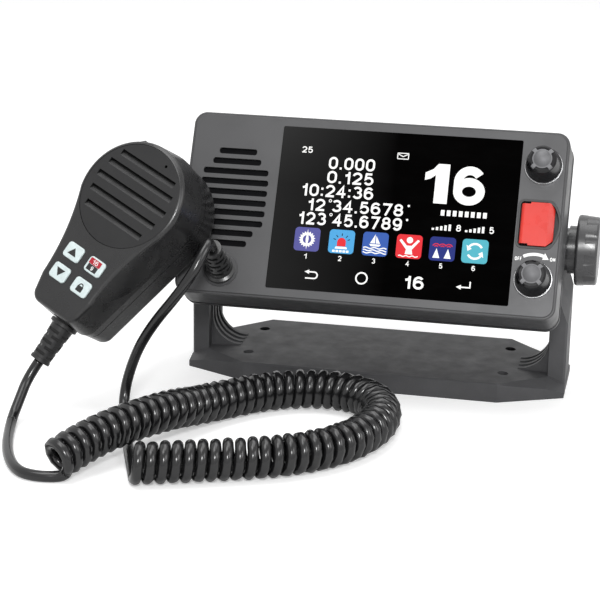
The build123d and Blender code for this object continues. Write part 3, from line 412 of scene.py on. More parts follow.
@dataclass(frozen=True)
class Louvred(SparkPlastic):
    """Moulded plastic whose sunk slots lie in painted shade."""

    front: Point3 = (0.0, 0.0, 0.0)
    inwards: Point3 = (0.0, 1.0, 0.0)
    slot_depths_mm: tuple[float, float] = (0.15, 1.0)

    def shade(self, painter: Painter) -> Wire:
        """The colour, with painted shade near black at the bottom of the slots.

        Args:
            painter: The material's painter.

        Returns:
            The colour.
        """
        level = Vector(self.front).dot(Vector(self.inwards))
        shallow, deep = (depth * MM for depth in self.slot_depths_mm)
        # Painted shade: the deeper the surface lies behind the grille's front, the nearer black it is
        # painted.
        sunk = (painter.along(self.inwards) - level).between(shallow, deep)
        return painter.mixed(sunk * SHADE_SHARE, super().shade(painter), SLOT_SHADE)


@dataclass(frozen=True)
class Sleeve(Finish):
    """A rubber sleeve around a cord, with painted shade in the slots between its ribs."""

    root: Point3 = (0.0, 0.0, 0.0)
    tip: Point3 = (0.0, 0.0, 1.0)
    radii_mm: tuple[float, float] = (5.0, 4.0)
    slot_depths_mm: tuple[float, float] = (0.1, 0.5)

    def shade(self, painter: Painter) -> Wire:
        """The colour, with painted shade near black below the ribs' tops.

        Args:
            painter: The material's painter.

        Returns:
            The colour.
        """
        way = Vector(self.tip) - Vector(self.root)
        thick, thin = (radius * MM for radius in self.radii_mm)
        shallow, deep = (depth * MM for depth in self.slot_depths_mm)
        along, out = painter.around(self.root, way.normalized())
        # Painted shade: the further the surface lies inside the ribs' outer cone, the nearer black it is
        # painted.
        sunk = (along * ((thin - thick) / way.length) + thick - out).between(shallow, deep)
        return painter.mixed(sunk * SHADE_SHARE, super().shade(painter), BOOT_SHADE)


@dataclass(frozen=True)
class Lit:
    """A colour of the lit picture, seen through the display glass."""

    colour: Colour
    glow: float = 0.42

    def make(self, name: str) -> bpy.types.Material:
        """Builds the material with a faint pixel grid in its light.

        Args:
            name: The material's name.

        Returns:
            The material.
        """
        painter = Painter(name)
        pixels = painter.pits(0.18).between(0.0, 1.2) * 0.12 + 0.9
        return painter.finish(
            Base_Color=painter.mixed(pixels, dimmer(self.colour, 0.35), dimmer(self.colour, 0.5)),
            Roughness=0.12,
            Specular_IOR_Level=0.2,
            Emission_Color=painter.mixed(pixels, dimmer(self.colour, 0.8), self.colour),
            Emission_Strength=self.glow,
        )


@dataclass(frozen=True)
class ScreenGlass:
    """Dark gloss glass with faint wiping smears, and a painted reflection: a coat that is strongest at its
    upper left and fades from there.
    """

    clean: Colour = (0.0005, 0.0004, 0.0004)
    smeared: Colour = (0.0012, 0.0011, 0.0011)
    painted_reflection_up_m: Point2 = (0.07, 0.106)
    painted_reflection_across_m: Point2 = (-0.048, 0.01)

    def make(self, name: str) -> bpy.types.Material:
        """Builds the material.

        Args:
            name: The material's name.

        Returns:
            The material.
        """
        painter = Painter(name)
        smears = painter.noise(7.0, 5.0, 0.65, painter.drawn_out(0.35)).between(0.45, 0.8)
        # Painted reflection: the coat's weight follows the place on the glass, so the glass reflects most at
        # its upper left.
        up = painter.along(RADIO.way(0, 0, 1)).between(*self.painted_reflection_up_m)
        left = 1 - painter.along(RADIO.way(1, 0, 0)).between(*self.painted_reflection_across_m)
        return painter.finish(
            Base_Color=painter.mixed(smears, self.clean, self.smeared),
            Roughness=smears * 0.09 + 0.05,
            Specular_IOR_Level=0.01,
            Coat_Weight=left * (up * 0.5 + 0.5),
            Coat_Roughness=0.1,
        )


@dataclass(frozen=True)
class KeyRubber:
    """Pale translucent key pads with a satin top."""

    colour: Colour = (0.56, 0.64, 0.64)

    def make(self, name: str) -> bpy.types.Material:
        """Builds the material.

        Args:
            name: The material's name.

        Returns:
            The material.
        """
        painter = Painter(name)
        cloud = painter.clouds(2.5, 4.0, 0.6)
        return painter.finish(
            Base_Color=painter.mixed(cloud, dimmer(self.colour, 0.9), dimmer(self.colour, 1.08)),
            Roughness=cloud * 0.1 + 0.32,
            Subsurface_Weight=0.15,
            Subsurface_Radius=(0.002, 0.002, 0.002),
            Normal=painter.bump(painter.noise(0.35, 3.0), 0.01),
        )


@dataclass(frozen=True)
class Board:
    """A circuit board: solder mask with tracks and pads."""

    mask: Colour = (0.01, 0.09, 0.03)
    track: Colour = (0.03, 0.2, 0.07)
    pad: Colour = (0.7, 0.66, 0.6)
    track_grid_mm: float = 6.0

    def make(self, name: str) -> bpy.types.Material:
        """Builds the material.

        Args:
            name: The material's name.

        Returns:
            The material.
        """
        painter = Painter(name)
        tracks = painter.node(
            "ShaderNodeTexBrick",
            {"offset": 0.37},
            {
                "Vector": painter.place,
                "Scale": 1 / (self.track_grid_mm * MM),
                "Color1": (0.0, 0.0, 0.0, 1.0),
                "Color2": (0.0, 0.0, 0.0, 1.0),
                "Mortar": (1.0, 1.0, 1.0, 1.0),
                "Mortar Size": 0.03,
            },
            "Fac",
        )
        pads = 1 - painter.pits(3.0).between(0.12, 0.16)
        return painter.finish(
            Base_Color=painter.mixed(pads, painter.mixed(tracks * 0.8, self.mask, self.track), self.pad),
            Metallic=pads,
            Roughness=0.4 - pads * 0.15,
            Normal=painter.bump(tracks, 0.04),
        )


class Look(Enum):
    """Every finish on the radio."""

    BRACKET = Scuffed((0.062, 0.062, 0.065), 0.5, specular=0.3, grain_mm=1.1, grain_depth_mm=0.03, dust=0.05)
    CLAMP = SparkPlastic((0.038, 0.038, 0.04), 0.28, specular=0.6, grain_mm=0.6, dust=0.04)
    STAINLESS = Brushed((0.6, 0.6, 0.6), 0.3, 1.0, grain_mm=0.15, mottle=0.05)
    RUBBER = Finish((0.02, 0.02, 0.021), 0.62, specular=0.3, grain_mm=0.3, grain_depth_mm=0.015)
    CASE = SparkPlastic((0.055, 0.055, 0.057), 0.36, specular=0.3, grain_mm=0.45, mottle=0.08)
    FACE = Brushed((0.078, 0.078, 0.08), 0.42, 0.4, 0.2, grain_mm=0.3, mottle=0.06, mottle_mm=30.0)
    CAST = Casting((0.03, 0.03, 0.032), 0.48, 0.3, 0.3, grain_mm=0.7, grain_depth_mm=0.03, dust=0.05)
    DARK = Finish((0.004, 0.004, 0.005), 0.7, specular=0.1, grain_mm=0.8, grain_depth_mm=0.05)
    WELL = SparkPlastic((0.06, 0.06, 0.062), 0.4, specular=0.2, grain_mm=0.4)
    CONE = Finish((0.02, 0.02, 0.021), 0.75, specular=0.2, grain_mm=0.5, grain_depth_mm=0.05)
    DIAL = Finish((0.004, 0.004, 0.005), 0.2, specular=0.3, coat=0.1, grain_mm=0.9, grain_depth_mm=0.004)
    DIAL_CAP = Finish((0.125, 0.125, 0.13), 0.55, 0.6, grain_mm=0.7, grain_depth_mm=0.004, mottle=0.06)
    RING = Brushed((0.55, 0.55, 0.56), 0.25, 1.0, grain_mm=0.2, mottle=0.05)
    NICKEL = Brushed((0.62, 0.6, 0.56), 0.22, 1.0, grain_mm=0.25, mottle=0.08)
    RED = Finish(
        (0.58, 0.032, 0.022),
        0.3,
        specular=0.35,
        coat=0.05,
        grain_mm=0.8,
        grain_depth_mm=0.005,
        mottle=0.05,
    )
    SHELL = SparkPlastic((0.013, 0.013, 0.0135), 0.28, grain_mm=0.4, mottle=0.08, dust=0.02)
    # The grille's slots carry painted shade.
    GRILLE = Louvred(
        (0.019, 0.019, 0.0195),
        0.4,
        specular=0.25,
        grain_mm=0.4,
        mottle=0.08,
        front=tuple(HANDSET.point(0, 0, 0)),
        inwards=tuple(HANDSET.way(0, 1, 0)),
    )
    CORD = Finish((0.008, 0.008, 0.0085), 0.2, sheen_spread=0.03, grain_depth_mm=0.003)
    # The two boots carry painted shade between their ribs.
    GLAND_BOOT = Sleeve(
        (0.02, 0.02, 0.0205),
        0.3,
        grain_mm=0.35,
        grain_depth_mm=0.01,
        root=tuple(RADIO.point(*GLAND_BOOT_ROOT)),
        tip=tuple(RADIO.point(*GLAND_BOOT_TIP)),
        radii_mm=(6.2, 3.9),
    )
    MIC_BOOT = Sleeve(
        (0.02, 0.02, 0.0205),
        0.34,
        specular=0.4,
        grain_mm=0.35,
        grain_depth_mm=0.01,
        root=tuple(HANDSET.point(*MIC_BOOT_ROOT)),
        tip=tuple(HANDSET.point(*MIC_BOOT_TIP)),
        radii_mm=(5.4, 4.5),
    )
    # The display glass carries a painted reflection at its upper left.
    SCREEN = ScreenGlass()
    KEY = KeyRubber()
    BOARD = Board()
    WHITE = Lit((0.95, 0.95, 0.93), 0.5)
    VIOLET = Lit((0.1, 0.1, 0.33))
    SKY = Lit((0.08, 0.38, 0.72))
    SEA = Lit((0.04, 0.11, 0.42))
    SCARLET = Lit((0.76, 0.03, 0.04))
    NAVY = Lit((0.018, 0.03, 0.2))
    TEAL = Lit((0.09, 0.45, 0.55))
    SHADOW = Lit((0.01, 0.03, 0.04), 0.1)
    PRINT = Finish((0.85, 0.85, 0.84), 0.45, grain_mm=0.2, grain_depth_mm=0.004, mottle=0.03)
    PRINT_BLACK = Finish((0.006, 0.006, 0.006), 0.4, grain_mm=0.2, grain_depth_mm=0.004)
    PRINT_RED = Finish((0.34, 0.006, 0.016), 0.4, grain_mm=0.2, grain_depth_mm=0.004)

    @property
    def material(self) -> bpy.types.Material:
        """This finish's material, made once."""
        name = f"look_{self.name.lower()}"
        return bpy.data.materials.get(name) or self.value.make(name)


def dress(looks: dict[Look, Sequence[str]]) -> None:
    """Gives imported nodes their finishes.

    Args:
        looks: The node names for each finish.
    """
    for look, names in looks.items():
        for name in names:
            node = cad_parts[name]
            for slot in node.material_slots:
                slot.material = look.material
            log.info("dressed %s as %s", name, look.name)


# ---- new objects ----------------------------------------------------------------------------
def added(name: str, data: Any) -> bpy.types.Object:
    """A new object in the scene.

    Args:
        name: Its name.
        data: Its mesh, lamp or camera.

    Returns:
        The object.
    """
    made = bpy.data.objects.new(name, data)
    bpy.context.scene.collection.objects.link(made)
    return made


def piece_of(name: str, shape: bmesh.types.BMesh, look: Look) -> bpy.types.Object:
    """A new piece of the radio from a finished shape, which is used up.

    Args:
        name: The piece's name.
        shape: Its shape.
        look: Its finish.

    Returns:
        The piece.
    """
    mesh = bpy.data.meshes.new(name)
    shape.to_mesh(mesh)
    shape.free()
    mesh.materials.append(look.material)
    return added(name, mesh)


def put_in_order(elements: Any, place: Callable[[Any], Vector]) -> None:
    """Sorts a shape's elements by place, as an extrusion leaves them in an order of its own.

    Args:
        elements: The shape's points, edges or faces.
        place: Gives the place that an element is sorted by.
    """
    for index, element in enumerate(sorted(elements, key=lambda one: tuple(place(one)))):
        element.index = index
    elements.sort()


# ---- flat artwork ---------------------------------------------------------------------------
def polar(centre: Point2, radius: float, degrees: float) -> Point2:
    """The point at a distance and an angle from a centre."""
    angle = math.radians(degrees)
    return (centre[0] + radius * math.cos(angle), centre[1] + radius * math.sin(angle))


def circle(
    centre: Point2, radius: float, count: int = 40, start: float = 0.0, sweep: float = FULL_TURN
) -> list[Point2]:
    """Points along a circle or an arc.

    Args:
        centre: Its centre.
        radius: Its radius.
        count: How many points.
        start: The first point's angle in degrees.
        sweep: How far it turns; a full turn leaves out the last point.

    Returns:
        The points.
    """
    steps = count if sweep == FULL_TURN else count - 1
    return [polar(centre, radius, start + sweep * i / steps) for i in range(count)]


def rounded_box(x0: float, z0: float, x1: float, z1: float, radius: float) -> list[Point2]:
    """The outline of a box with round corners.

    Args:
        x0: Its left side.
        z0: Its bottom.
        x1: Its right side.
        z1: Its top.
        radius: The corners' radius.

    Returns:
        The points, from the right side round to the left.
    """
    left, right, low, high = x0 + radius, x1 - radius, z0 + radius, z1 - radius
    outline: list[Point2] = []
    for index, place in enumerate([(right, high), (left, high), (left, low), (right, low)]):
        outline += circle(place, radius, 8, 90.0 * index, 90.0)
    return outline


def oval(
    u: float, v: float, ru: float, rv: float, start: float, sweep: float, count: int = 18
) -> list[Point2]:
    """Points along part of an oval, for a stroke.

    Args:
        u: The centre's place across.
        v: The centre's place up.
        ru: The half width.
        rv: The half height.
        start: The first point's angle in degrees.
        sweep: How far it turns.
        count: How many points.

    Returns:
        The points.
    """
    return [(u + ru * x, v + rv * y) for x, y in circle((0.0, 0.0), 1.0, count, start, sweep)]


def wave(left: float, level: float, step: float, height: float, pace: float, shift: float) -> list[Point2]:
    """Points along a wavy line.

    Args:
        left: Where it starts.
        level: The height it runs at.
        step: The distance between points.
        height: How far it swings to each side.
        pace: How far the wave turns for each point, in radians.
        shift: How far it has turned at the start, in radians.

    Returns:
        The points.
    """
    return [(left + step * i, level + height * math.sin(i * pace + shift)) for i in range(WAVE_POINTS)]


SIX = [
    oval(0.5, 0.62, 0.5, 0.38, 35.0, 145.0)
    + [(0.0, 0.31)]
    + oval(0.5, 0.31, 0.5, 0.31, 180.0, 359.0, 30)[1:],
]
GLYPHS: dict[str, list[list[Point2]]] = {
    "0": [oval(0.5, 0.66, 0.5, 0.34, 0.0, 180.0) + oval(0.5, 0.34, 0.5, 0.34, 180.0, 180.0) + [(1.0, 0.66)]],
    "1": [[(0.9, -0.1), (0.9, 1.1)], [(0.9, 0.94), (0.6, 0.76), (0.1, 0.72)]],
    "2": [oval(0.5, 0.7, 0.5, 0.3, 172.0, -205.0) + [(0.0, 0.0)], [(-0.1, 0.0), (1.08, 0.0)]],
    "3": [oval(0.47, 0.755, 0.45, 0.245, 155.0, -245.0), oval(0.5, 0.27, 0.5, 0.27, 90.0, -250.0)],
    "4": [[(0.72, -0.1), (0.72, 1.0), (0.0, 0.28), (1.1, 0.28)]],
    "5": [[(0.9, 1.0), (0.16, 1.0), (0.07, 0.5)] + oval(0.5, 0.32, 0.5, 0.32, 132.0, -285.0)],
    "6": SIX,
    "7": [[(-0.08, 1.0), (1.0, 1.0), (0.31, -0.1)]],
    "8": [oval(0.5, 0.76, 0.42, 0.24, 0.0, 359.0, 30), oval(0.5, 0.27, 0.5, 0.27, 0.0, 359.0, 30)],
    "9": [[(1 - u, 1 - v) for u, v in line] for line in SIX],
    "O": [oval(0.5, 0.5, 0.5, 0.5, 0.0, 359.0, 34)],
    "N": [[(0.0, 0.0), (0.0, 1.0)], [(0.0, 1.0), (1.0, 0.0)], [(1.0, 0.0), (1.0, 1.0)]],
    "F": [[(0.0, 0.0), (0.0, 1.0)], [(0.0, 1.0), (1.0, 1.0)], [(0.0, 0.5), (0.85, 0.5)]],
}
DOTS: dict[str, tuple[float, ...]] = {".": (0.0,), ":": (0.08, 0.68)}
GLYPH_GAP = 0.2
GLYPH_ROOM = {".": 0.32, ":": 0.34, " ": 0.35, "1": 0.72, "O": 1.25, "N": 1.15}


def glyph_room(mark: str) -> float:
    """How wide a mark is set, where a plain figure is 1."""
    return GLYPH_ROOM.get(mark, 1.0)


@dataclass(frozen=True)
class Face:
    """A flat face of a part that takes artwork."""

    base: PartFrame
    front_y: float
    body: str
    slot: str


class Artwork:
    """Thin flat shapes on one face of a part, joined into one piece."""

    WELD = 1e-7
    THICKNESS_SHARE = 0.9
    SHARPEST_MITRE = 0.5

    def __init__(self, name: str, face: Face, look: Look, rise: float = 0.03) -> None:
        """Starts an empty sheet.

        Args:
            name: The piece's name.
            face: The face it lies on.
            look: Its finish.
            rise: How far it stands proud of the face, in millimetres.
        """
        self.name = name
        self.face = face
        self.look = look
        self.rise = rise
        self.mesh = bmesh.new()

    def _vertex(self, x: float, z: float) -> bmesh.types.BMVert:
        """A point on the sheet's front."""
        return self.mesh.verts.new(self.face.base.point(x, self.face.front_y - self.rise, z))

    def shape(self, outline: Sequence[Point2]) -> None:
        """A filled outline."""
        self.mesh.faces.new([self._vertex(*p) for p in outline])

    def box(self, x0: float, z0: float, x1: float, z1: float) -> None:
        """A filled box."""
        self.shape([(x0, z0), (x1, z0), (x1, z1), (x0, z1)])

    def arrowhead(self, centre: Point2, corners: Sequence[tuple[float, float]]) -> None:
        """A filled outline whose corners are distances and angles from a centre."""
        self.shape([polar(centre, radius, angle) for radius, angle in corners])

    def band(self, first: Sequence[Point2], second: Sequence[Point2], closed: bool = False) -> None:
        """A filled strip between two lines.

        Args:
            first: The points of one line.
            second: As many points of the other.
            closed: Whether the strip's ends meet.
        """
        a = [self._vertex(*p) for p in first]
        b = [self._vertex(*p) for p in second]
        count = len(a) if closed else len(a) - 1
        for i in range(count):
            j = (i + 1) % len(a)
            self.mesh.faces.new((a[i], a[j], b[j], b[i]))

    def ring(
        self,
        centre: Point2,
        outer: float,
        inner: float,
        count: int = 40,
        start: float = 0.0,
        sweep: float = FULL_TURN,
    ) -> None:
        """A filled ring, or a part of one.

        Args:
            centre: Its centre.
            outer: Its outer radius.
            inner: Its inner radius.
            count: How many points each edge has.
            start: The angle it starts at, in degrees.
            sweep: How far it turns.
        """
        edges = [circle(centre, radius, count, start, sweep) for radius in (outer, inner)]
        self.band(*edges, closed=sweep == FULL_TURN)

    def stroke(self, line: Sequence[Point2], width: float) -> None:
        """A line of even width, with mitred corners.

        Args:
            line: Its points.
            width: Its width.
        """
        points = [Vector(p) for p in line]
        ways = [(b - a).normalized() for a, b in zip(points, points[1:])]
        left, right = [], []
        for point, before, after in zip(points, ways[:1] + ways, ways + ways[-1:]):
            along = (before + after).normalized()
            side = Vector((-along.y, along.x))
            square = Vector((-after.y, after.x))
            reach = width / 2 / max(self.SHARPEST_MITRE, side.dot(square))
            left.append(tuple(point + side * reach))
            right.append(tuple(point - side * reach))
        self.band(left, right)

    def numerals(self, text: str, box: Box, weight: float = 0.17) -> None:
        """Figures drawn with strokes of even width, filling a box.

        Args:
            text: The figures to set.
            box: Left, bottom, right and top in millimetres.
            weight: The stroke's width, as a share of the figures' height.
        """
        left, bottom, right, top = box
        width = weight * (top - bottom)
        half = width / 2
        room = sum(glyph_room(c) for c in text) + GLYPH_GAP * (len(text) - 1)
        unit = (right - left) / room
        climb = top - bottom - width
        for mark in text:
            wide = glyph_room(mark) * unit
            span = wide - width
            for line in GLYPHS.get(mark, ()):
                self.stroke([(left + half + u * span, bottom + half + v * climb) for u, v in line], width)
            for level in DOTS.get(mark, ()):
                x, z = left + span / 2, bottom + level * climb
                self.box(x, z, x + width, z + width)
            left += wide + GLYPH_GAP * unit

    def close(self) -> None:
        """Gives the shapes their thickness and hands the piece over."""
        into = self.face.base.way(0, 1, 0)
        bmesh.ops.remove_doubles(self.mesh, verts=self.mesh.verts, dist=self.WELD)
        for face in self.mesh.faces:
            face.normal_update()
            if face.normal.dot(into) > 0:
                face.normal_flip()
        whole = bmesh.ops.extrude_face_region(self.mesh, geom=self.mesh.faces[:])
        backs = [part for part in whole["geom"] if isinstance(part, bmesh.types.BMVert)]
        thickness = into * (self.rise * self.THICKNESS_SHARE * MM)
        bmesh.ops.translate(self.mesh, verts=backs, vec=thickness)
        bmesh.ops.recalc_face_normals(self.mesh, faces=self.mesh.faces[:])
        put_in_order(self.mesh.verts, lambda vertex: vertex.co)
        put_in_order(self.mesh.edges, lambda edge: edge.verts[0].co + edge.verts[1].co)
        put_in_order(self.mesh.faces, lambda face: face.calc_center_median())
        piece = piece_of(self.name, self.mesh, self.look)
        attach(piece, self.face.body)
        log.info("made %s", self.name)


# ---- studio ---------------------------------------------------------------------------------
@dataclass(frozen=True)
class Lamp:
    """A square studio lamp that faces the radio."""

    name: str
    place: Point3
    size: float
    power: float
    target: Point3 = (0.0, -0.03, 0.05)

    def hang(self) -> None:
        """Places the lamp."""
        light = bpy.data.lights.new(self.name, "AREA")
        light.shape = "SQUARE"
        light.size = self.size
        light.energy = self.power
        holder = added(self.name, light)
        holder.location = self.place
        aim = Vector(self.target) - holder.location
        holder.rotation_euler = aim.to_track_quat("-Z", "Y").to_euler()


@dataclass
class Studio:
    """Camera, lamps, floor and backdrop."""

    eye: Point3 = (0.1400, -0.8654, 0.3201)
    right: Point3 = (0.9779, 0.2086, 0.0138)
    up: Point3 = (-0.0775, 0.3005, 0.9506)
    forward: Point3 = (-0.1941, 0.9307, -0.3100)
    lens: float = 113.69
    lamps: list[Lamp] = field(
        default_factory=lambda: [
            Lamp("key_lamp", (-0.35, -0.35, 1.35), 0.7, 6.2),
            Lamp("right_lamp", (1.0, -0.55, 0.75), 0.6, 4.0),
            Lamp("top_lamp", (0.05, 0.35, 1.3), 0.9, 6.0),
            Lamp("front_lamp", (0.2, -1.15, 0.75), 0.22, 8.5),
        ]
    )
    ambient: float = 0.42
    floor_half: float = 6.0
    floor_glow: float = 0.35

    def set_camera(self) -> None:
        """Places the camera."""
        data = bpy.data.cameras.new("camera")
        data.lens = self.lens
        data.sensor_width = 36.0
        data.clip_start, data.clip_end = 0.01, 20.0
        camera = added("camera", data)
        axes = Matrix((self.right, self.up, [-v for v in self.forward])).transposed()
        camera.matrix_world = Matrix.Translation(self.eye) @ axes.to_4x4()
        bpy.context.scene.camera = camera

    def set_world(self) -> None:
        """A soft grey surround that is white wherever it is seen."""
        world = bpy.data.worlds.new("surround")
        sky = Shading(world)
        kinds = ("Camera", "Glossy", "Transmission")
        rays = [sky.node("ShaderNodeLightPath", output=f"Is {kind} Ray") for kind in kinds]
        seen = rays[0].maximum(rays[1]).maximum(rays[2])
        white = (1.0, 1.0, 1.0, 1.0)
        soft = sky.node("ShaderNodeBackground", None, {"Color": white, "Strength": self.ambient})
        bright = sky.node("ShaderNodeBackground", None, {"Color": white, "Strength": 1.0})
        mix = sky.node("ShaderNodeMixShader", None, {0: seen, 1: soft, 2: bright})
        sky.node("ShaderNodeOutputWorld", None, {"Surface": mix})
        bpy.context.scene.world = world

    def lay_floor(self) -> None:
        """A wide pale floor that keeps the shadow and looks white where it is lit."""
        painter = Painter("floor")
        path = painter.node("ShaderNodeLightPath", output="Is Camera Ray")
        shade = painter.mixed(painter.clouds(40.0, 3.0), (0.86, 0.86, 0.86), (0.88, 0.88, 0.88))
        inputs = {"Base Color": shade, "Roughness": 0.7, "Specular IOR Level": 0.1}
        plain = painter.node("ShaderNodeBsdfPrincipled", None, inputs)
        glow = painter.node("ShaderNodeEmission", None, {"Strength": self.floor_glow})
        none = painter.node("ShaderNodeEmission", None, {"Strength": 0.0})
        lift = painter.node("ShaderNodeMixShader", None, {0: path, 1: none, 2: glow})
        painter.surface(painter.node("ShaderNodeAddShader", None, {0: plain, 1: lift}))
        mesh = bpy.data.meshes.new("floor")
        half = self.floor_half
        corners = [(-half, -half, 0), (half, -half, 0), (half, half, 0), (-half, half, 0)]
        mesh.from_pydata(corners, [], [(0, 1, 2, 3)])
        mesh.materials.append(painter.material)
        added("floor", mesh)

    def build(self) -> None:
        """Sets everything that isn't the radio."""
        self.set_camera()
        self.set_world()
        self.lay_floor()
        for lamp in self.lamps:
            lamp.hang()
        bpy.context.scene.view_settings.view_transform = "Standard"


# ---- cords ----------------------------------------------------------------------------------
def spline_points(name: str, route: Sequence[Point3], fineness: int = 24) -> list[Vector]:
    """Points along the smooth line of a route.

    Args:
        name: A name for the line.
        route: Its control points in millimetres.
        fineness: Points for each span.

    Returns:
        The points in metres.
    """
    curve = bpy.data.curves.new(name, "CURVE")
    curve.dimensions = "3D"
    curve.resolution_u = fineness
    spline = curve.splines.new("NURBS")
    spline.points.add(len(route) - 1)
    for control, place in zip(spline.points, route):
        control.co = (*(Vector(place) * MM), 1.0)
    spline.order_u = 3
    spline.use_endpoint_u = True
    holder = bpy.data.objects.new(name, curve)
    line = bpy.data.meshes.new_from_object(holder)
    points = [v.co.copy() for v in line.vertices]
    bpy.data.objects.remove(holder)
    bpy.data.curves.remove(curve)
    bpy.data.meshes.remove(line)
    return points


def length_of(line: Sequence[Vector]) -> float:
    """How long a line of points is."""
    return sum((b - a).length for a, b in zip(line, line[1:]))


def evenly(line: Sequence[Vector], step: float) -> list[Vector]:
    """The same line with its points evenly spaced.

    Args:
        line: The line's points.
        step: About how far apart they are to be, in metres.

    Returns:
        The new points.
    """
    total = length_of(line)
    count = max(2, round(total / step))
    made, run, index = [], 0.0, 0
    for want in (total * i / count for i in range(count + 1)):
        while index < len(line) - 2 and run + (line[index + 1] - line[index]).length < want:
            run += (line[index + 1] - line[index]).length
            index += 1
        span = (line[index + 1] - line[index]).length or 1.0
        made.append(line[index].lerp(line[index + 1], min(1.0, (want - run) / span)))
    return made


def direction_at(line: Sequence[Vector], index: int) -> Vector:
    """The direction a line runs in at one of its points."""
    return (line[min(index + 1, len(line) - 1)] - line[max(index - 1, 0)]).normalized()


def travelling_frames(line: Sequence[Vector], up: Vector) -> list[tuple[Vector, Vector]]:
    """Two directions across a line at each of its points, carried along without twist.

    Args:
        line: The points.
        up: A direction to start from.

    Returns:
        For each point, a direction across the line and the one square to it.
    """
    frames = []
    side = up
    for index in range(len(line)):
        along = direction_at(line, index)
        side = (side - along * side.dot(along)).normalized()
        frames.append((side, along.cross(side)))
    return frames


class Tube:
    """A round tube along a line of points, with closed ends."""

    STEEP = 0.9

    def __init__(self, name: str, line: Sequence[Vector], radius: float, sides: int = 16) -> None:
        """Builds the tube's mesh.

        Args:
            name: The piece's name.
            line: The points it follows, in metres.
            radius: Its radius in metres.
            sides: Points around it.
        """
        self.line = list(line)
        mesh = bmesh.new()
        steep = abs((line[1] - line[0]).normalized().z) >= self.STEEP
        across = travelling_frames(line, Vector((1, 0, 0)) if steep else Vector((0, 0, 1)))
        angles = [2 * math.pi * k / sides for k in range(sides)]
        rings = []
        for point, (a, b) in zip(line, across):
            spokes = [(a * math.cos(t) + b * math.sin(t)) * radius for t in angles]
            rings.append([mesh.verts.new(point + spoke) for spoke in spokes])
        for low, high in zip(rings, rings[1:]):
            for k in range(sides):
                j = (k + 1) % sides
                mesh.faces.new((low[k], low[j], high[j], high[k])).smooth = True
        mesh.faces.new(rings[0])
        mesh.faces.new(rings[-1])
        bmesh.ops.recalc_face_normals(mesh, faces=mesh.faces[:])
        self.piece = piece_of(name, mesh, Look.CORD)


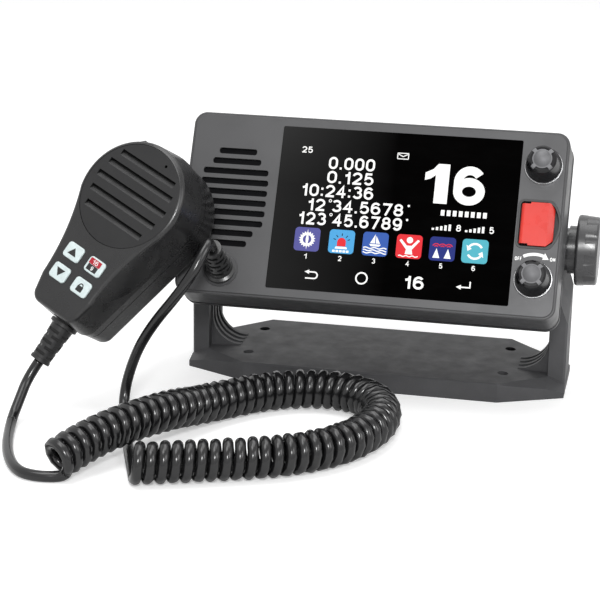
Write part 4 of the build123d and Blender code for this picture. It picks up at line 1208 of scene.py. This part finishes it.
@dataclass
class Cord:
    """The curly cord and its plain ends, laid on the floor in front of the radio."""

    wire_r: float = 2.4
    coil_r: float = 6.85
    pitch_loose: float = 5.6
    pitch_tight: float = 5.3
    loosening: float = 2.5
    first_turn: float = -0.125
    last_turn: float = -0.25
    turn_share: float = 1 / 20
    lead_length: float = 33.0
    point_gap: float = 1.2
    coil_point_gap: float = 0.5
    gland_beyond: Point3 = (-66.7, -72.29, -24.53)
    mic_beyond: Point3 = (0.0, 17.0, -93.6)
    panel_route: tuple[Point3, ...] = (
        (-66.3, -82.0, 80.5),
        (-72.5, -91.0, 66.0),
        (-93.0, -91.0, 40.0),
        (-102.5, -88.0, 17.0),
        (-102.0, -96.0, 2.5),
        (-90.0, -128.0, 2.5),
        (-76.2, -164.6, 2.45),
    )
    panel_landing: int = 4
    coil_route: tuple[Point3, ...] = (
        (-108.5, -169.0, 9.3),
        (-99.5, -152.0, 13.8),
        (-78.5, -121.5, 15.6),
        (-63.5, -90.0, 9.3),
        (-40.0, -66.5, 9.3),
        (-13.0, -57.5, 9.3),
        (10.5, -67.0, 9.3),
        (17.5, -92.0, 9.3),
        (7.0, -121.0, 9.3),
        (-13.0, -140.0, 9.3),
        (-42.0, -152.5, 9.3),
        (-76.2, -164.6, 9.3),
    )
    mic_route: tuple[Point3, ...] = (
        (-148.0, -117.0, 2.5),
        (-138.5, -148.5, 2.5),
        (-127.0, -168.5, 2.5),
        (-116.0, -172.4, 2.45),
    )
    mic_landing: int = 1

    def line_through(self, name: str, route: Sequence[Point3]) -> list[Vector]:
        """The evenly spaced points of a plain length of cord, in metres."""
        return evenly(spline_points(name, route), self.point_gap * MM)

    def coil_line(self) -> list[Vector]:
        """The wound wire's centreline, loosest at its first turns.

        It starts low on the coil's near side, where the handset's tail rises into it, and ends on
        the floor, where the panel lead comes in.

        Returns:
            The points in metres, a twentieth of a turn apart.
        """
        line = evenly(spline_points("coil_route", self.coil_route), self.coil_point_gap * MM)
        total = len(line) - 1
        looser = self.pitch_loose - self.pitch_tight
        loose = [max(0.0, 1 - self.loosening * i / total) for i in range(total)]
        steps = [1 / (self.pitch_tight + looser * share) for share in loose]
        turns = round(sum(steps) * self.coil_point_gap) + self.last_turn - self.first_turn
        wire = []
        turn, last = self.first_turn, -1.0
        for i, point in enumerate(line):
            if turn - last >= self.turn_share or i == total:
                along = direction_at(line, i)
                near = along.cross(Vector((0, 0, 1))).normalized()
                above = near.cross(along)
                angle = 2 * math.pi * turn
                spoke = near * math.cos(angle) + above * math.sin(angle)
                wire.append(point + spoke * (self.coil_r * MM))
                last = turn
            if i < total:
                turn += steps[i] * turns / sum(steps)
        return wire

    def lay_panel_lead(self) -> None:
        """The length that leaves the gland's boot and runs down to the coil's far end."""
        start = [tuple(RADIO.point(*place) / MM) for place in (GLAND_BOOT_TIP, self.gland_beyond)]
        line = self.line_through("panel_route", (*start, *self.panel_route))
        lead = Tube("panel_lead", line, self.wire_r * MM)
        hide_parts("panel_cord")
        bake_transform(lead.piece)
        self.declare(lead)

    def wind_coil(self) -> Tube:
        """Winds the coil.

        Returns:
            The wound wire.
        """
        coil = Tube("curly_cord", self.coil_line(), self.wire_r * MM, 14)
        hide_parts("coil_cord")
        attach(coil.piece, "root")
        self.declare(coil)
        return coil

    def lay_handset_leads(self, coil: Tube) -> None:
        """The two lengths from the handset's boot to the floor and along it to the coil.

        Args:
            coil: The wound wire, which the second length rises into.
        """
        tip, corner = (HANDSET.point(*place) for place in (MIC_BOOT_TIP, self.mic_beyond))
        first, landing = Vector(self.mic_route[0]) * MM, Vector(self.mic_route[self.mic_landing]) * MM
        start = [tuple(place / MM) for place in (tip, corner, (corner + first) / 2)]
        end = coil.line[0] / MM
        upwards = (coil.line[1] - coil.line[0]).normalized()
        rise = end - upwards * ((end.z - self.wire_r) / upwards.z)
        whole = self.line_through("mic_route", (*start, *self.mic_route, tuple(rise), tuple(end)))
        reach = self.lead_length * MM
        split = next(i for i in range(len(whole)) if length_of(whole[: i + 1]) > reach)
        upper = Tube("handset_lead", whole[: split + 1], self.wire_r * MM)
        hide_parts("mic_cord_upper")
        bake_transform(upper.piece)
        self.declare(upper)
        lower = Tube("handset_tail", whole[split:], self.wire_r * MM)
        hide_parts("mic_cord_lower")
        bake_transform(lower.piece)
        self.declare(lower)

    def declare(self, tube: Tube) -> None:
        """Logs a tube's name and the length of its line.

        Args:
            tube: The tube.
        """
        long = length_of(tube.line)
        log.info("laid %s, %.3f m", tube.piece.name, long)

    def build(self) -> None:
        """Lays the ends, winds the coil and logs each length."""
        self.lay_panel_lead()
        self.lay_handset_leads(self.wind_coil())


# ---- bracket and case -----------------------------------------------------------------------
@dataclass
class Mounting:
    """The gimbal bracket with its clamp knobs."""

    def build(self) -> None:
        """Dresses the bracket and the clamps."""
        dress(
            {
                Look.BRACKET: ["bracket"],
                Look.CLAMP: ["clamp_knob_left", "clamp_knob_right"],
                Look.STAINLESS: ["clamp_stud_left", "clamp_stud_right"],
                Look.RUBBER: ["pivot_washer_left", "pivot_washer_right"],
            }
        )


@dataclass
class Case:
    """Bezel, face plate, housing, connectors and everything sealed inside."""

    front: Face = Face(RADIO, -46.0, "radio", "face_paint")
    dial_centre: Point2 = (76.7, -25.4)
    word_weight: float = 0.19

    def build(self) -> None:
        """Dresses the case and prints the marks beside the volume dial."""
        dress(
            {
                Look.CASE: ["front_bezel", "cord_gland"],
                Look.FACE: ["face_plate"],
                Look.CAST: ["rear_housing"],
                Look.RUBBER: ["housing_gasket"],
                Look.GLAND_BOOT: ["gland_boot"],
                Look.STAINLESS: ["housing_screws", "board_screws"],
                Look.NICKEL: ["antenna_socket", "data_socket", "power_gland"],
                Look.BOARD: ["control_board", "main_board"],
                Look.DARK: ["speaker_baffle", "lcd_module"],
                Look.CONE: ["speaker"],
            }
        )
        self.print_switch_marks()

    def print_switch_marks(self) -> None:
        """The off and on ends of the volume dial, joined by an arrow."""
        marks = Artwork("switch_marks", self.front, Look.PRINT)
        marks.numerals("OFF", (67.7, -17.1, 70.9, -15.3), self.word_weight)
        marks.numerals("ON", (83.4, -16.6, 85.8, -14.8), self.word_weight)
        marks.ring(self.dial_centre, 12.3, 10.9, 14, 117.0, -46.0)
        marks.arrowhead(self.dial_centre, [(13.2, 71.0), (11.3, 57.0), (9.9, 71.0)])
        marks.close()


# ---- display --------------------------------------------------------------------------------
@dataclass
class Display:
    """The glass and the picture behind it."""

    glass: Face = Face(RADIO, -46.2, "radio", "screen_glass")
    sign_rise: float = 0.06
    readings: tuple[tuple[str, Box], ...] = (
        ("0.000", (-21.6, 19.4, 0.0, 25.2)),
        ("0.125", (-21.6, 12.7, 0.0, 18.5)),
        ("10:24:36", (-33.2, 6.0, 0.6, 11.8)),
        ("12 34.5678", (-29.6, -0.8, 15.2, 4.9)),
        ("123 45.6789", (-33.2, -7.5, 15.2, -1.6)),
    )
    degree_signs: tuple[Point2, ...] = ((-18.9, 4.3), (-17.9, -2.2))
    end_dots: tuple[Point2, ...] = ((17.5, 4.4), (17.4, -2.2))
    power_figures: tuple[str, Box] = ("25", (-34.8, 26.4, -29.8, 29.4))
    level_figures: tuple[tuple[str, Box], ...] = (
        ("8", (40.1, -5.9, 42.3, -2.8)),
        ("5", (55.1, -5.9, 57.3, -2.8)),
    )
    distress_channel: tuple[str, Box] = ("16", (18.7, -34.0, 28.0, -28.0))
    tile: float = 11.8
    tile_height_share: float = 0.94
    tile_corner: float = 1.7
    tiles_x: tuple[float, ...] = (-27.7, -11.6, 4.0, 19.6, 34.8, 49.6)
    tiles_z: float = -14.5

    def sheet(self, name: str, look: Look, rise: float = 0.03) -> Artwork:
        """An empty sheet on the glass."""
        return Artwork(name, self.glass, look, rise)

    def figures(self) -> None:
        """The rows of readings and the small figures around them."""
        rows = self.sheet("display_figures", Look.WHITE)
        for text, box in self.readings:
            rows.numerals(text, box)
        for centre in self.degree_signs:
            rows.ring(centre, 0.75, 0.4)
        for centre in self.end_dots:
            rows.shape(circle(centre, 0.55, 16))
        rows.numerals(*self.power_figures)
        for index, x in enumerate(self.tiles_x):
            rows.numerals(str(index + 1), (x - 0.8, -23.6, x + 0.8, -21.2))
        for text, box in self.level_figures:
            rows.numerals(text, box)
        rows.numerals(*self.distress_channel, 0.18)
        rows.close()

    def channel_number(self) -> None:
        """The large channel number, whose 1 has a flag and no foot."""
        big = self.sheet("display_channel", Look.WHITE)
        left, low, wide, high = 23.6, 6.5, 11.0, 18.6
        flag = ((0.52, 1.0), (0.32, 0.86), (0.0, 0.76), (0.0, 0.57), (0.24, 0.62), (0.44, 0.71))
        one = ((0.44, 0.0), (1.0, 0.0), (1.0, 1.0), *flag)
        big.shape([(left + wide * u, low + high * v) for u, v in one])
        big.numerals("6", (37.0, 6.5, 51.4, 24.8), 0.22)
        big.close()

    def level_bars(self) -> None:
        """Two small rising scales, a row of even bars and the message sign."""
        bars = self.sheet("display_levels", Look.WHITE)
        low = -5.9
        for left in (29.0, 44.2):
            for i in range(5):
                x, high = left + i * 1.9, 0.9 + 0.52 * i
                bars.box(x, low, x + 1.1, low + high)
        for i in range(8):
            x = 32.4 + i * 2.75
            bars.box(x, 1.0, x + 1.7, 3.6)
        self.envelope(bars)
        bars.close()

    @staticmethod
    def envelope(sheet: Artwork) -> None:
        """A small message sign.

        Args:
            sheet: The sheet it is drawn on.
        """
        x0, z0, x1, z1 = 10.0, 26.3, 15.0, 29.0
        edge = [(x0, z0), (x1, z0), (x1, z1), (x0, z1), (x0, z0)]
        for a, b in zip(edge, edge[1:]):
            sheet.stroke([a, b], 0.4)
        sheet.stroke([(x0 + 0.4, z1 - 0.5), ((x0 + x1) / 2, z0 + 1.1), (x1 - 0.4, z1 - 0.5)], 0.4)

    def touch_signs(self) -> None:
        """The row of touch signs under the picture: back, home and enter."""
        signs = self.sheet("touch_signs", Look.WHITE)
        line_width = 0.62
        bend = circle((-22.6, -31.1), 1.5, 12, -90.0, 180.0)[1:]
        signs.stroke([(-26.6, -32.6), (-22.6, -32.6), *bend, (-25.2, -29.6)], line_width)
        signs.shape([(-27.2, -29.6), (-25.0, -28.6), (-25.0, -30.6)])
        signs.ring((-0.6, -30.8), 2.9, 2.2)
        signs.stroke([(48.9, -28.6), (48.9, -31.4), (44.6, -31.4)], line_width)
        signs.shape([(42.6, -31.4), (44.9, -30.3), (44.9, -32.5)])
        signs.close()

    def tiles(self) -> None:
        """The six coloured squares."""
        looks = (Look.VIOLET, Look.SKY, Look.SEA, Look.SCARLET, Look.NAVY, Look.TEAL)
        half, z = self.tile / 2, self.tiles_z
        tall = half * self.tile_height_share
        for index, (x, look) in enumerate(zip(self.tiles_x, looks)):
            square = self.sheet(f"display_tile_{index + 1}", look)
            square.shape(rounded_box(x - half, z - tall, x + half, z + tall, self.tile_corner))
            square.close()

    def tile_signs(self) -> None:
        """What is drawn on the squares in white."""
        white = self.sheet("tile_signs", Look.WHITE, self.sign_rise)
        signs = (self.gear, self.lamp_base, self.boat, self.swimmer, self.beacons, self.renew)
        for sign, x in zip(signs, self.tiles_x):
            sign(white, x)
        white.close()

    def warning_lights(self) -> None:
        """The red dome of the warning lamp and the red arcs over the beacons."""
        red = self.sheet("tile_red_signs", Look.SCARLET, self.sign_rise)
        x, z = self.tiles_x[1], self.tiles_z
        dome = circle((x, z - 0.2), 2.0, 16, 0.0, 180.0)
        red.shape([(x + 2.0, z - 2.2), *dome, (x - 2.0, z - 2.2)])
        for shift in (-2.9, 0.0, 2.9):
            for radius in (1.0, 1.9):
                centre = (self.tiles_x[4] + shift, z + 0.6)
                red.ring(centre, radius, radius - 0.4, 12, 25.0, 130.0)
        red.close()

    def lamp_rays(self) -> None:
        """The dark rays around the warning lamp."""
        dark = self.sheet("tile_dark_signs", Look.SHADOW, self.sign_rise)
        centre = (self.tiles_x[1], self.tiles_z - 0.2)
        for angle in (20.0, 50.0, 90.0, 130.0, 160.0):
            dark.stroke([polar(centre, radius, angle) for radius in (2.9, 4.1)], 0.4)
        dark.close()

    def gear(self, sheet: Artwork, x: float) -> None:
        """A toothed wheel with a pointer.

        Args:
            sheet: The sheet it is drawn on.
            x: The middle of its tile.
        """
        z = self.tiles_z
        count = 36
        gaps, teeth, hole = (circle((x, z), radius, count) for radius in (3.0, 3.9, 2.0))
        outline = [(gaps, teeth)[i % 2][i] for i in range(count)]
        sheet.band(outline, hole, True)
        sheet.shape([(x - 0.7, z), (x, z - 4.8), (x + 0.7, z), (x, z + 4.8)])

    def lamp_base(self, sheet: Artwork, x: float) -> None:
        """The foot of a warning lamp and a panel under it.

        Args:
            sheet: The sheet it is drawn on.
            x: The middle of its tile.
        """
        z = self.tiles_z
        sheet.shape([(x - 2.9, z - 3.4), (x + 2.9, z - 3.4), (x + 2.5, z - 2.4), (x - 2.5, z - 2.4)])
        for i in range(5):
            left = x - 3.9 + i * 1.6
            sheet.box(left, z - 5.0, left + 1.2, z - 4.0)

    def boat(self, sheet: Artwork, x: float) -> None:
        """A small boat over three waves.

        Args:
            sheet: The sheet it is drawn on.
            x: The middle of its tile.
        """
        z = self.tiles_z
        sheet.shape([(x - 0.2, z + 4.6), (x - 0.2, z + 0.3), (x - 2.4, z + 0.3)])
        sheet.shape([(x + 0.2, z + 3.9), (x + 2.2, z + 0.3), (x + 0.2, z + 0.3)])
        sheet.shape([(x - 2.8, z - 0.1), (x - 2.0, z - 1.1), (x + 1.8, z - 1.1), (x + 2.7, z - 0.1)])
        for row in range(3):
            sheet.stroke(wave(x - 5.4, z - 1.9 - 1.1 * row, 0.6, 0.28, 0.9, row), 0.5)

    def swimmer(self, sheet: Artwork, x: float) -> None:
        """A plain figure with raised arms over a wave.

        Args:
            sheet: The sheet it is drawn on.
            x: The middle of its tile.
        """
        z = self.tiles_z
        body = (
            (-1.7, -3.6),
            (1.8, -3.6),
            (1.3, -1.4),
            (4.7, 2.9),
            (3.8, 3.4),
            (1.1, 0.4),
            (-1.1, 0.4),
            (-3.8, 3.3),
            (-4.7, 2.7),
            (-1.3, -1.4),
        )
        sheet.shape(circle((x + 0.1, z + 3.0), 1.45, 24))
        sheet.shape([(x + across, z + up) for across, up in body])
        sheet.stroke(wave(x - 4.6, z - 4.5, 0.5, 0.25, 1.1, 0.0), 0.45)

    def beacons(self, sheet: Artwork, x: float) -> None:
        """Two signal masts.

        Args:
            sheet: The sheet it is drawn on.
            x: The middle of its tile.
        """
        low, top = self.tiles_z - 4.3, self.tiles_z + 0.2
        for middle in (x - 2.6, x + 2.6):
            sheet.shape([(middle - 1.6, low), (middle + 1.6, low), (middle, top)])

    def renew(self, sheet: Artwork, x: float) -> None:
        """Two arrows chasing each other round.

        Args:
            sheet: The sheet it is drawn on.
            x: The middle of its tile.
        """
        centre = (x, self.tiles_z)
        sweep = 115.0
        for start in (30.0, 210.0):
            end, tip = start + sweep, start + 150.0
            sheet.ring(centre, 3.9, 2.9, 16, start, sweep)
            sheet.arrowhead(centre, [(4.9, end), (3.4, tip), (1.9, end)])

    def build(self) -> None:
        """Dresses the glass and draws the picture."""
        dress({Look.SCREEN: ["display_glass"]})
        self.figures()
        self.channel_number()
        self.level_bars()
        self.touch_signs()
        self.tiles()
        self.tile_signs()
        self.warning_lights()
        self.lamp_rays()


# ---- dials and distress control -------------------------------------------------------------
@dataclass
class Controls:
    """The two dials and the covered distress button."""

    lip: Face = Face(RADIO, -46.2, "radio", "face_paint")
    well_corner: float = 1.8
    well_bulge: float = 15.52

    def well_line(self, grow: float) -> list[Point2]:
        """The outline of the distress recess.

        Args:
            grow: How far it is grown outwards.

        Returns:
            The points.
        """
        corner = self.well_corner + grow
        arcs = (
            ((70.0, 8.6), corner, 8, 90.0, 90.0),
            ((70.0, -8.6), corner, 8, 180.0, 90.0),
            ((80.2, -8.6), corner, 4, 270.0, 35.0),
            ((70.48, 0.0), self.well_bulge + grow, 20, -33.0, 66.0),
            ((80.2, 8.6), corner, 4, 55.0, 35.0),
        )
        return [point for arc in arcs for point in circle(*arc)]

    def build(self) -> None:
        """Dresses the controls and blackens the recess's rim."""
        rim = Artwork("recess_rim", self.lip, Look.PRINT_BLACK, 0.02)
        rim.band(self.well_line(-0.02), self.well_line(0.75), True)
        rim.close()
        for dial in ("squelch", "volume"):
            dress(
                {
                    Look.DIAL: [f"{dial}_knob"],
                    Look.DIAL_CAP: [f"{dial}_knob_cap"],
                    Look.RING: [f"{dial}_ring"],
                    Look.STAINLESS: [f"{dial}_shaft", f"{dial}_encoder"],
                }
            )
        dress(
            {
                Look.RED: ["distress_cover", "distress_button"],
                Look.WELL: ["distress_well"],
                Look.DARK: ["distress_hinge_pin"],
                Look.STAINLESS: ["distress_spring"],
            }
        )


# ---- handset --------------------------------------------------------------------------------
@dataclass
class Handset:
    """The fist microphone."""

    key_top_y: float = -0.9
    key_x: float = 6.8
    key_rows: tuple[float, float] = (-34.8, -45.8)

    def build(self) -> None:
        """Dresses the handset and prints its keys."""
        dress(
            {
                Look.SHELL: ["mic_front_shell", "mic_rear_shell", "mic_ptt"],
                Look.GRILLE: ["mic_grille"],
                Look.BOARD: ["mic_board"],
                Look.CONE: ["mic_capsule"],
                Look.STAINLESS: ["mic_hanger_stud", "mic_screws"],
                Look.MIC_BOOT: ["mic_boot"],
                Look.KEY: ["mic_key_up", "mic_key_down", "mic_key_channel", "mic_key_lock"],
            }
        )
        self.print_arrows()
        self.print_channel_key()
        self.print_lock_key()

    def sheet(self, name: str, key: str, look: Look, rise: float = 0.03) -> Artwork:
        """An empty sheet on the top of a key, which rides on the key's body."""
        return Artwork(name, Face(HANDSET, self.key_top_y, key, "key_pad"), look, rise)

    def print_arrows(self) -> None:
        """A solid arrowhead on the up key and one on the down key."""
        x = -self.key_x
        for z, name, way in zip(self.key_rows, ("up", "down"), (1, -1)):
            arrow = self.sheet(f"key_{name}_mark", f"mic_{name}", Look.PRINT_BLACK)
            arrow.shape([(x - 2.5, z - 1.7 * way), (x + 2.5, z - 1.7 * way), (x, z + 1.9 * way)])
            arrow.close()

    def print_channel_key(self) -> None:
        """The two calling channels, one on red and one on black."""
        x, z, key = self.key_x, self.key_rows[0], "mic_channel"
        red = self.sheet("key_channel_number", key, Look.PRINT_RED)
        red.shape(rounded_box(x - 3.9, z + 0.2, x + 2.7, z + 3.0, 0.3))
        red.close()
        figures = self.sheet("key_channel_figures", key, Look.PRINT, 0.06)
        figures.numerals("16", (x - 2.3, z + 0.6, x + 1.1, z + 2.6), 0.13)
        figures.numerals("9", (x - 1.2, z - 2.3, x + 0.1, z - 0.4), 0.15)
        figures.close()
        black = self.sheet("key_channel_base", key, Look.PRINT_BLACK)
        black.shape(rounded_box(x - 3.5, z - 2.8, x + 2.3, z + 0.1, 0.3))
        black.close()

    def print_lock_key(self) -> None:
        """A padlock."""
        x, z = self.key_x, self.key_rows[1]
        lock = self.sheet("key_lock_mark", "mic_lock", Look.PRINT_BLACK)
        lock.shape(rounded_box(x - 1.7, z - 2.3, x + 1.7, z + 0.4, 0.4))
        lock.ring((x, z + 0.4), 1.35, 0.8, 12, 0.0, 180.0)
        lock.close()


def main() -> None:
    """Builds the studio and every sub-assembly."""
    logging.basicConfig(level=logging.INFO, format="%(name)s: %(message)s")
    Studio().build()
    for part in (Cord(), Mounting(), Case(), Display(), Controls(), Handset()):
        part.build()
        log.info("finished %s", type(part).__name__)


if __name__ == "__main__":
    main()
